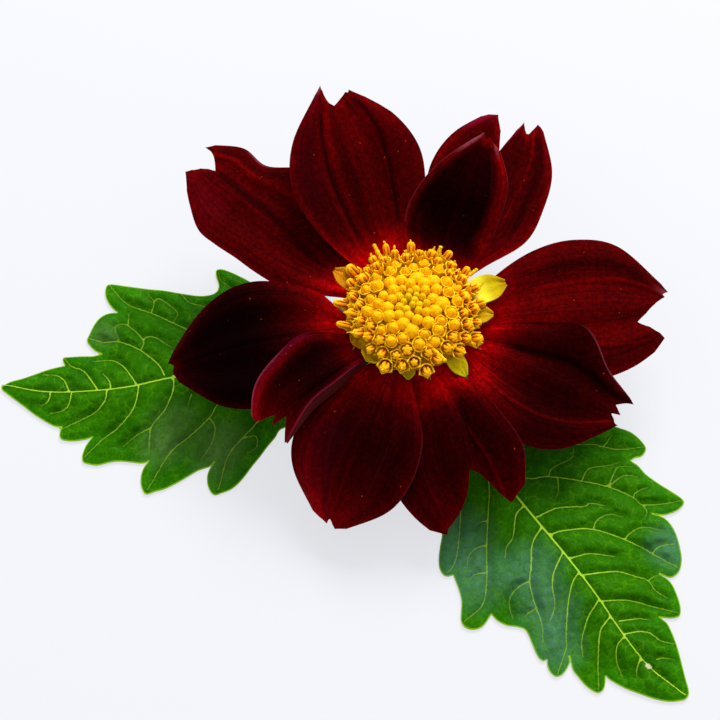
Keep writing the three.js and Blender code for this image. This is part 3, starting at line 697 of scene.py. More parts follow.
def petal_colour(paint):
    lines = streaks(paint, 11.0, 0.9, paint.read("seed"))
    mottle = paint.noise(paint.place(), 1500.0, 4.0, 0.7)
    blotch = paint.noise(paint.place(), 240.0)
    change = paint.scaled(lines, 1.15, 0.425)
    change = paint.times(change, paint.scaled(mottle, 1.4, 0.3))
    change = paint.times(change, paint.scaled(blotch, 0.3, 0.85))
    level = paint.times(paint.read("level"), change)
    red = paint.math("POWER", paint.math("MAXIMUM", level, 0.0), 2.2)
    parts = {0: paint.scaled(red, 1.15, 0.0003), 1: paint.scaled(red, 0.002, 0.0001)}
    parts[2] = paint.scaled(red, 0.003, 0.0003)
    colour = paint.add("ShaderNodeCombineColor", parts)
    colour = paint.mix(paint.times(paint.read("rose"), 0.8), colour, (0.19, 0.003, 0.025))
    # Pale marks: grey-pink painted sheen along ridges and edges.
    pale = paint.times(paint.read("pale"), paint.scaled(mottle, 0.8, 0.5), clamp=True)
    colour = paint.mix(pale, colour, (0.5, 0.09, 0.13))
    back = paint.mix(lines, (0.05, 0.005, 0.006), (0.12, 0.013, 0.014))
    colour = paint.mix(paint.read("under"), colour, back)
    pollen = paint.group(SPECKS, Vector=paint.place(), Scale=560.0, Size=0.075, Sparseness=0.52)
    return paint.mix(paint.times(pollen, 0.55), colour, (0.32, 0.05, 0.006))


def petal_height(paint):
    return paint.plus(streaks(paint, 21.0, 0.7, 3.0), paint.times(paint.noise(paint.place(), 5200.0), 0.14))


def make_petals():
    velvet = finish(
        "petal_velvet", petal_colour, 0.6, petal_height, 0.2,
        Specular_IOR_Level=0.012, Specular_Tint=(1.0, 0.1, 0.16, 1.0),
        Sheen_Weight=0.008, Sheen_Roughness=0.5, Sheen_Tint=(1.0, 0.05, 0.1, 1.0),
    )
    for name, petal in PETALS.items():
        make_petal(name, petal, velvet)
    make_margin(velvet)


# ---------- disc ----------
DISC_RADIUS = 11.4
DISC_RIM = 4.65
DISC_CROWN = 8.3
DISC_SHIFT = np.array([-0.5, 0.1, 0.0])
GOLDEN_ANGLE = 137.508
HONEYCOMB = 0.866  # area that one floret fills, as a share of its spacing squared
MIDDLE_SPACING = 1.2  # between buds in the middle
RIM_SPACING = 2.12  # between open florets at the rim
RIPE_FROM = 0.4  # shares of the radius where the buds ripen, show their cups and open
CUP_FROM = 0.48
OPEN_FROM = 0.73
DOME = 2.2  # the higher, the farther out the disc begins to fall from its crown to its rim
RIM_LEAN = 60  # outward lean of the florets at the rim
STRAY = 0.2  # how far a floret stands from its place in the pattern
SWAY = 12  # how far it leans from its heading
FLORET_SIZES = (0.82, 1.14)
YOUNG_BUD = 0.53  # radii as shares of the spacing
RIPE_BUD = 0.56
CUP = 0.52
CUP_BUD = 0.84  # radius of the bud in a cup, as a share of the cup's
ANTHERS = 0.62
BUD_SIDES = 25
CUP_SIDES = 35
CUSHION_SIDES = 144
CUSHION = ((0.1, 2.0), (6.8, 2.1), (8.8, 2.8), (10.2, 3.7), (9.8, 4.7), (7.4, 6.1), (4, 7.2), (0.1, 7.5))
DISC_NOTCH = (213, 42, 0.15)  # azimuth, half width and depth of the side where florets fall short
# azimuth, radius and height of the root and of the tip of each style that stands far out
LONG_STYLES = (
    (36, 9, 4.2, 36, 13.2, 4.6), (66, 9, 4.2, 66, 11.9, 6.6), (117, 9, 4.2, 117, 13.1, 6),
    (286, 6.8, 6.2, 298, 11.3, 5.7), (328, 9, 4.2, 328, 11.9, 4.6),
)
# azimuth, tip radius, half width, rise and yellowness of each scale that shows under the florets
CHAFF = (
    (19, 16, 2.5, 5, 1), (150, 14.3, 1.8, 12, 0), (209, 10.8, 2, -4, 0), (231, 11.2, 2, -14, 0.3),
    (248, 10.8, 2, -6, 0.1), (267, 11.7, 1.1, -14, 0.45), (309, 13.8, 1.5, -16, 0.6), (357, 13, 1.6, 4, 0.2),
)
CHAFF_ROOT_RADIUS = 8.6
CHAFF_ROOT_HEIGHT = 3.7
CHAFF_HALF_THICKNESS = 0.09
# azimuth, tip radius and tip height of each bristle
BRISTLES = ((210, 11.6, 1.2), (245, 10.9, 0.4), (283, 11.6, 0.3), (329, 12.4, 2.3))
STYLE_SIDES = 10
STYLE_STEP = 0.16
STYLE_RADII = (0.2, 0.16)  # at the root and the tip
LONG_STYLE_RADII = (0.4, 0.3)
POLLEN_GRAIN = 0.035
CHAFF_ROWS = 30
CHAFF_COLUMNS = 21
BRISTLE_ROOT = (9.4, 3.0)  # radius and height
BRISTLE_RADII = (0.16, 0.09)
BRISTLE_STEPS = 12
BRISTLE_SIDES = 8


def on_disc(radius, azimuth, height):
    return around(radius, azimuth, PETAL_PLANE + height) + DISC_SHIFT


def floret_places():
    """Share of the radius, azimuth and spacing of every floret, close in the middle and wider at the rim."""
    share = np.linspace(0, 1, 2001)
    spacing = MIDDLE_SPACING + (RIM_SPACING - MIDDLE_SPACING) * ease(share, 0.05, 0.5)
    density = 2 * np.pi * share * DISC_RADIUS**2 / (HONEYCOMB * spacing**2)
    total = np.concatenate([[0], np.cumsum((density[1:] + density[:-1]) / 2 * share[1])])
    count = int(total[-1])
    places = np.interp(np.arange(count) + 0.5, total, share)
    return places, np.arange(count) * GOLDEN_ANGLE, np.interp(places, share, spacing)


def closed_bud(radius, rise):
    """Outline of a shut floret about its tip."""
    below = [(0.6, -2.0), (0.9, -1.2), (1.0, -0.7), (0.97, -0.36), (0.84, -0.08)]
    above = [(0.62, 0.1 + 0.2 * rise), (0.34, 0.19 + 0.38 * rise), (0.1, 0.22 + 0.44 * rise)]
    return [(across * radius, height) for across, height in below + above]


def funnel(radius, wall=0.12):
    """Outline of an open floret's tube, up its outside, over the rim and down its inside."""
    outside = [(0.42, -3.0), (0.5, -2.2), (0.74, -1.3), (0.94, -0.5), (1.0, -0.1), (1.05, 0.01)]
    inner = [(1.0 - wall, 0.02), (0.9 - wall, -0.5), (0.66 - wall, -1.3), (0.3, -1.8)]
    return [(radius * across, height) for across, height in outside + inner]


def anther_column(radius, top):
    """Outline of the anthers, joined into a column round the style."""
    foot = [(0.66 * radius, -1.9), (0.8 * radius, -1.0), (0.94 * radius, -0.3)]
    shaft = [(1.0, 0.2), (1.04, 0.45), (1.0, 0.7), (0.78, 0.88), (0.46, 0.97), (0.14, 1.0)]
    return foot + [(across * radius, height * top) for across, height in shaft]


def seams(depth, low, high):
    """Ripple for five lengthwise seams that deepen between two heights."""
    def ripple(angle, radius, height):
        share = ease(height, low, high)
        return radius * (1 - depth * share * np.abs(np.cos(2.5 * angle)) ** 8), height
    return ripple


def lobes(flare, rise):
    """Ripple that draws a rim out and up into five pointed lobes."""
    def ripple(angle, radius, height):
        lobe = 1 - np.abs(np.sin(2.5 * angle))
        top = ease(height, -0.7, 0.0)
        return radius * (1 + flare * top * lobe), height + rise * top * (lobe - 0.35)
    return ripple


def cushion_ribs(angle, radius, height):
    """Ripple for the feet of the outer florets, standing side by side round the cushion."""
    return radius * (1 + 0.02 * np.abs(np.sin(18 * angle)) * ease(radius, 6, 9)), height


def seam_share(points, power):
    """How near each point of a floret lies to one of its seams; a higher power keeps nearer to them."""
    angle = np.arctan2(points[:, 1], points[:, 0])
    return np.abs(np.cos(2.5 * angle)) ** power


def grow_bud(buds, radius, rise, seam_reach, stance, **attributes):
    """A shut floret. stance: its tip, axis and spin."""
    points, faces = turned(closed_bud(radius, rise), BUD_SIDES, seams(0.1, -1.2, 0.1))
    seam = seam_share(points, 14) * ease(points[:, 2], *seam_reach)
    buds.take(stand(points, *stance), faces, rise=points[:, 2], **attributes, seam=seam)


def grow_style(growth, start, end, root_and_tip_radius, rng):
    """A style furred with grains of pollen."""
    radius, tip_radius = root_and_tip_radius
    steps = max(4, round(np.linalg.norm(end - start) / STYLE_STEP))
    share = np.linspace(0, 1, steps)
    path = start + (end - start) * share[:, None]
    radii = (radius + (tip_radius - radius) * share) * rng.uniform(0.86, 1.16, steps)
    radii[-1] *= 0.45
    points, faces = rod(path, radii, STYLE_SIDES)
    points = points + rng.uniform(-POLLEN_GRAIN, POLLEN_GRAIN, points.shape)
    growth.take(points, faces, rise=np.repeat(share, STYLE_SIDES), tone=rng.uniform(0, 1))


def grow_anthers(anthers, pistils, cup, share, azimuth, tip, axis, spin, tone, rng):
    """An open floret's anthers and, from some of them, the style."""
    top = 0.9 + ease(share, 0.8, 1.0) * (0.75 + 0.6 * bump(azimuth % 360, 165, 90))
    top *= rng.uniform(0.75, 1.2)
    radius = ANTHERS * cup * rng.uniform(0.92, 1.12)
    points, faces = turned(anther_column(radius, top), CUP_SIDES, seams(0.3, -1.5, 0.0))
    grain = rng.uniform(0.95, 1.07, (len(points), 1))
    points[:, :2] *= 1 + (grain - 1) * ease(points[:, 2:], 0.3 * top, 0.7 * top)
    rise = points[:, 2] / top
    stripe = seam_share(points, 7) * (1 - ease(rise, 0.5, 0.95)) * rng.uniform(0.6, 1)
    anthers.take(stand(points, tip, axis, spin + 36), faces, rise=rise, stripe=stripe, tone=tone)
    if rng.uniform() < 0.45:
        start = tip + axis * top * 0.85
        bend = towards(azimuth + rng.uniform(-70, 70), rng.uniform(10, 60))
        end = start + axis * rng.uniform(0.3, 0.7) + bend * rng.uniform(0.1, 0.5)
        grow_style(pistils, start, end, STYLE_RADII, rng)


def make_florets(rng):
    buds, tubes, anthers, pistils = Growth(), Growth(), Growth(), Growth()
    for share, azimuth, spacing in zip(*floret_places()):
        height = DISC_CROWN + (DISC_RIM - DISC_CROWN) * share**DOME + rng.uniform(-STRAY, STRAY)
        reach = DISC_RADIUS * (1 - DISC_NOTCH[2] * share**2 * bump(azimuth % 360, *DISC_NOTCH[:2]))
        tip = on_disc(reach * share, azimuth, height)
        tip[:2] += rng.uniform(-STRAY, STRAY, 2) * (0.5 + share)
        lean = RIM_LEAN * share**1.5 + rng.uniform(-SWAY, SWAY) * share
        axis = towards(azimuth + rng.uniform(-SWAY, SWAY), 90 - lean)
        size = rng.uniform(*FLORET_SIZES)
        spin = rng.uniform(0, 72)
        tone = rng.uniform(0, 1)
        if share < CUP_FROM:
            radius = (RIPE_BUD if share > RIPE_FROM else YOUNG_BUD) * spacing * size
            grow_bud(buds, radius, share, (-0.9, 0.0), (tip, axis, spin), ripe=share, tone=tone)
            continue
        cup = CUP * spacing * size
        tip = tip - axis * rng.uniform(0.0, 0.35)
        open_share = float(ease(share, OPEN_FROM - 0.06, OPEN_FROM + 0.04))
        mouth = lobes(0.06 + 0.12 * open_share, 0.25 + 0.25 * open_share)
        points, faces = turned(funnel(cup), CUP_SIDES, mouth)
        tubes.take(stand(points, tip, axis, spin), faces, rise=points[:, 2], tone=tone)
        if open_share < 0.4:
            tip = tip + axis * rng.uniform(0.0, 0.5)
            grow_bud(buds, CUP_BUD * cup, 0.9, (-0.6, 0.1), (tip, axis, spin), ripe=1, tone=tone)
        else:
            grow_anthers(anthers, pistils, cup, share, azimuth, tip, axis, spin, tone, rng)
    return buds, tubes, anthers, pistils


def make_chaff():
    """Thin pointed scales that stand out from under the florets."""
    growth = Growth()
    u = np.linspace(0, 1, CHAFF_ROWS)[:, None]
    t = np.linspace(-1, 1, CHAFF_COLUMNS)
    for azimuth, radius, half, rise, yellow in CHAFF:
        root = around(CHAFF_ROOT_RADIUS, azimuth, PETAL_PLANE + CHAFF_ROOT_HEIGHT)
        direction = towards(azimuth, rise)
        left = unit(np.cross(UP, direction))
        width = half * smooth((0.7, 0.9, 1.0, 0.86, 0.25), u)
        lift = 0.4 * t**2 + 0.1 * np.cos(9 * t) * u + 0.3 * np.sin(3 * u + azimuth)
        grid = root + direction * (u * (radius - CHAFF_ROOT_RADIUS))[..., None]
        grid = grid + left * (width * t)[..., None] + UP * lift[..., None]
        points, faces = sheet(grid + DISC_SHIFT, CHAFF_HALF_THICKNESS)
        growth.take(points, faces, along=both_sides(u, lift.shape), yellow=yellow)
    return growth


def make_bristles():
    growth = Growth()
    u = np.linspace(0, 1, BRISTLE_STEPS)
    radii = np.linspace(*BRISTLE_RADII, BRISTLE_STEPS)
    for azimuth, radius, height in BRISTLES:
        start = on_disc(BRISTLE_ROOT[0], azimuth, BRISTLE_ROOT[1])
        end = on_disc(radius, azimuth + 3, height)
        middle = (start + end) / 2 + UP * 0.7
        points, faces = rod(smooth_path([start, middle, end], u), radii, BRISTLE_SIDES)
        growth.take(points, faces, along=np.repeat(u, BRISTLE_SIDES))
    return growth


def make_disc():
    rng = np.random.default_rng(11)
    buds, tubes, anthers, pistils = make_florets(rng)
    for root_azimuth, root_radius, root_height, azimuth, radius, height in LONG_STYLES:
        root = on_disc(root_radius, root_azimuth, root_height)
        grow_style(pistils, root, on_disc(radius, azimuth, height), LONG_STYLE_RADII, rng)
    shine = {
        "Specular_Tint": (1.0, 0.8, 0.25, 1.0), "Subsurface_Weight": 0.25,
        "Subsurface_Radius": (1.0, 0.5, 0.05), "Subsurface_Scale": 0.6 * MM,
    }
    for growth, name, finish_name, colour, roughness, height, specular in (
        (buds, "disc_buds", "floret_bud", bud_colour, 0.4, floret_height, 0.15),
        (tubes, "disc_tubes", "floret_tube", tube_colour, 0.45, floret_height, 0.15),
        (anthers, "disc_anthers", "floret_anthers", anther_colour, 0.55, floret_height, 0.15),
        (pistils, "disc_styles", "floret_styles", style_colour, 0.55, floret_height, 0.15),
        (make_chaff(), "disc_chaff", "floret_chaff", chaff_colour, 0.5, floret_height, 0.06),
        (make_bristles(), "disc_bristles", "floret_bristles", bristle_colour, 0.5, None, 0.15),
    ):
        skin = finish(finish_name, colour, roughness, height, 0.09, Specular_IOR_Level=specular, **shine)
        growth.piece(name, skin, "disc", "floret")
    points, faces = turned(CUSHION, CUSHION_SIDES, cushion_ribs)
    skin = finish("disc_cushion_skin", cushion_colour, 0.7, floret_height, 0.2, Specular_IOR_Level=0.05)
    piece("disc_cushion", points + HEAD + DISC_SHIFT + UP * PETAL_PLANE, faces, skin, "disc", "floret")


def bud_colour(paint):
    young, middling, ripe = (0.78, 0.5, 0.003), (0.98, 0.5, 0.002), (1.0, 0.47, 0.002)
    top = paint.ramp(paint.read("ripe"), (0.05, young), (0.35, middling), (0.7, ripe))
    # Darker low on each bud: painted shade between the florets.
    low = paint.mix(paint.read("tone"), (0.62, 0.25, 0.001), (0.8, 0.36, 0.002))
    share = paint.ramp(paint.scaled(paint.read("rise"), 0.5, 0.9), (0.25, 0.0), (0.8, 1.0))
    colour = paint.mix(share, low, top)
    return paint.mix(paint.times(paint.read("seam"), 0.4), colour, (0.45, 0.2, 0.001))


def tube_colour(paint):
    # Darker towards the foot: painted shade down between the florets and inside the cups.
    level = paint.scaled(paint.read("rise"), 0.3, 0.9)
    foot, wall = (0.1, (0.4, 0.2, 0.001)), (0.6, (0.62, 0.31, 0.001))
    lip, rim = (0.82, (0.78, 0.37, 0.002)), (0.9, (1.0, 0.56, 0.006))
    colour = paint.ramp(level, foot, wall, lip, rim)
    return paint.mix(paint.times(paint.read("tone"), 0.25), colour, (0.5, 0.33, 0.003))


def anther_colour(paint):
    foot, middle, top = (0.7, 0.18, 0.001), (1.0, 0.31, 0.002), (1.0, 0.5, 0.005)
    body = paint.ramp(paint.read("rise"), (0.0, foot), (0.5, middle), (0.95, top))
    body = paint.mix(paint.times(paint.read("tone"), 0.5), body, (0.95, 0.42, 0.003))
    return paint.mix(paint.read("stripe"), body, (0.06, 0.007, 0.001))


def style_colour(paint):
    grains = paint.noise(paint.place(), 2600.0)
    return paint.ramp(grains, (0.35, (0.72, 0.3, 0.002)), (0.6, (0.97, 0.58, 0.008)))


def chaff_colour(paint):
    along = paint.read("along")
    brown = paint.ramp(along, (0.1, (0.34, 0.15, 0.002)), (1.0, (0.5, 0.19, 0.002)))
    foot, middle, tip = (0.3, 0.26, 0.003), (0.6, 0.44, 0.003), (0.42, 0.44, 0.005)
    green = paint.ramp(along, (0.1, foot), (0.6, middle), (1.0, tip))
    foot, low, high, tip = (0.78, 0.76, 0.2), (0.74, 0.68, 0.03), (0.48, 0.35, 0.001), (0.38, 0.22, 0.001)
    yellow = paint.ramp(along, (0.1, foot), (0.4, low), (0.7, high), (1.0, tip))
    tint = paint.read("yellow")
    olive = paint.mix(paint.times(tint, 2.0, clamp=True), brown, green)
    return paint.mix(paint.scaled(tint, 2.0, -1.0, clamp=True), olive, yellow)


def bristle_colour(paint):
    return paint.ramp(paint.read("along"), (0.0, (0.3, 0.2, 0.01)), (1.0, (0.34, 0.13, 0.006)))


def cushion_colour(paint):
    blotch = paint.noise(paint.place(), 700.0)
    return paint.ramp(blotch, (0.3, (0.26, 0.12, 0.001)), (0.7, (0.45, 0.22, 0.001)))


def floret_height(paint):
    return paint.group(GRAIN, Vector=paint.place(), Scale=3800.0, Detail=3.0)


# ---------- bracts ----------
# root, height: radius of a ring's roots and their height from the petals' plane. half: half width of a bract.
# lines, seed: number and seed of the streaks, from dark to light.
BRACT_RINGS = {
    "inner_bracts": dict(
        count=8, root=8, height=-2, length=9, half=2.7, lift=(-14, -30, -42), slot="inner_bract",
        lines=9.0, seed=1.0, dark=(0.16, 0.13, 0.04), light=(0.42, 0.36, 0.15),
    ),
    "outer_bracts": dict(
        count=5, root=5.5, height=-4.4, length=10, half=2, lift=(-30, -44, -30), slot="outer_bract",
        lines=7.0, seed=5.0, dark=(0.06, 0.16, 0.02), light=(0.16, 0.34, 0.06),
    ),
}
BRACT_HALF_THICKNESS = 0.22
BRACT_ROWS = 26
BRACT_COLUMNS = 17
COLLAR_SIDES = 48


def make_bracts(name, ring):
    growth = Growth()
    u = np.linspace(0, 1, BRACT_ROWS)
    t = np.linspace(-1, 1, BRACT_COLUMNS)
    lift = parabola(ring["lift"], u)
    for n in range(ring["count"]):
        azimuth = 360 * (n + 0.5) / ring["count"]
        steps = towards(azimuth, lift) * ring["length"] / (len(u) - 1)
        steps[0] = 0
        centre = around(ring["root"], azimuth, PETAL_PLANE + ring["height"]) + np.cumsum(steps, axis=0)
        left = np.cross(UP, towards(azimuth, 0))
        width = ring["half"] * smooth((0.75, 1, 0.95, 0.7, 0.12), u)
        grid = centre[:, None] + left * (width[:, None] * t)[..., None]
        grid[..., 2] += 0.5 * t**2 * u[:, None] + 0.1 * np.cos(3 * np.pi * t)
        points, faces = sheet(grid, BRACT_HALF_THICKNESS * (1 - 0.6 * t**4))
        shape = grid.shape[:2]
        growth.take(points, faces, along=both_sides(u[:, None], shape), across=both_sides(t, shape))
    inner, outer = ring["root"] - 0.1, ring["root"] + 0.8
    low, high = ring["height"] - 0.5, ring["height"] + 0.5
    section = [(inner, low), (outer, low), (outer, high), (inner, high), (inner, low)]
    points, faces = turned(section, COLLAR_SIDES)
    growth.take(points + UP * PETAL_PLANE, faces[:-2], along=0, across=0)

    def colour(paint):
        lines = streaks(paint, ring["lines"], 0.8, ring["seed"])
        return paint.ramp(lines, (0.3, ring["dark"]), (0.7, ring["light"]))

    growth.piece(name + "_blades", finish(name + "_skin", colour, 0.5), name, ring["slot"])


# ---------- stem ----------
# x, y, height and radius along the stalk, from the bloom down to the cut end
STALK_PATH = (
    (0, 0, 9.5, 1.7), (0, 0, 7, 1.7), (0, 0.4, 4.8, 2.2), (0, 1.6, 3.4, 2.7),
    (0, 4.2, 2.5, 2.3), (0, 8, 2, 2), (0, 16, 2, 2), (0, 24, 2, 2),
)
RECEPTACLE = (
    (0.1, -6), (1.9, -5.6), (4.2, -4.4), (6.6, -2.4), (7.4, -1.4), (7.2, -0.7), (5.2, -0.7), (5.2, 2.2),
    (0.1, 2.2),
)
RECEPTACLE_SIDES = 48
STALK_STEPS = 60
STALK_SIDES = 28
STALK_RIBS = 8
STALK_RIB_DEPTH = 0.02


def make_stem():
    u = np.linspace(0, 1, STALK_STEPS)
    path = smooth_path(STALK_PATH, u)
    points, faces = rod(path[:, :3], path[:, 3], STALK_SIDES)
    ribs = np.cos(2 * np.pi * np.tile(np.arange(STALK_SIDES) / STALK_SIDES, len(path)) * STALK_RIBS)
    centre = np.repeat(path[:, :3], STALK_SIDES, axis=0)
    points = centre + (points - centre) * (1 - STALK_RIB_DEPTH + STALK_RIB_DEPTH * ribs[:, None])
    growth = Growth()
    growth.take(points, faces, along=np.repeat(u, STALK_SIDES))
    points, faces = turned(RECEPTACLE, RECEPTACLE_SIDES)
    growth.take(points + UP * PETAL_PLANE, faces, along=0)
    growth.piece("stem_stalk", finish("stem_skin", stem_colour, 0.5, stem_height, 0.08), "stem", "stem")


def stem_colour(paint):
    blotch = paint.noise(paint.place(), 260.0, 3.0)
    return paint.ramp(blotch, (0.35, (0.10, 0.17, 0.03)), (0.65, (0.26, 0.36, 0.09)))


def stem_height(paint):
    return paint.group(GRAIN, Vector=paint.place(), Scale=1500.0, Detail=2.0)


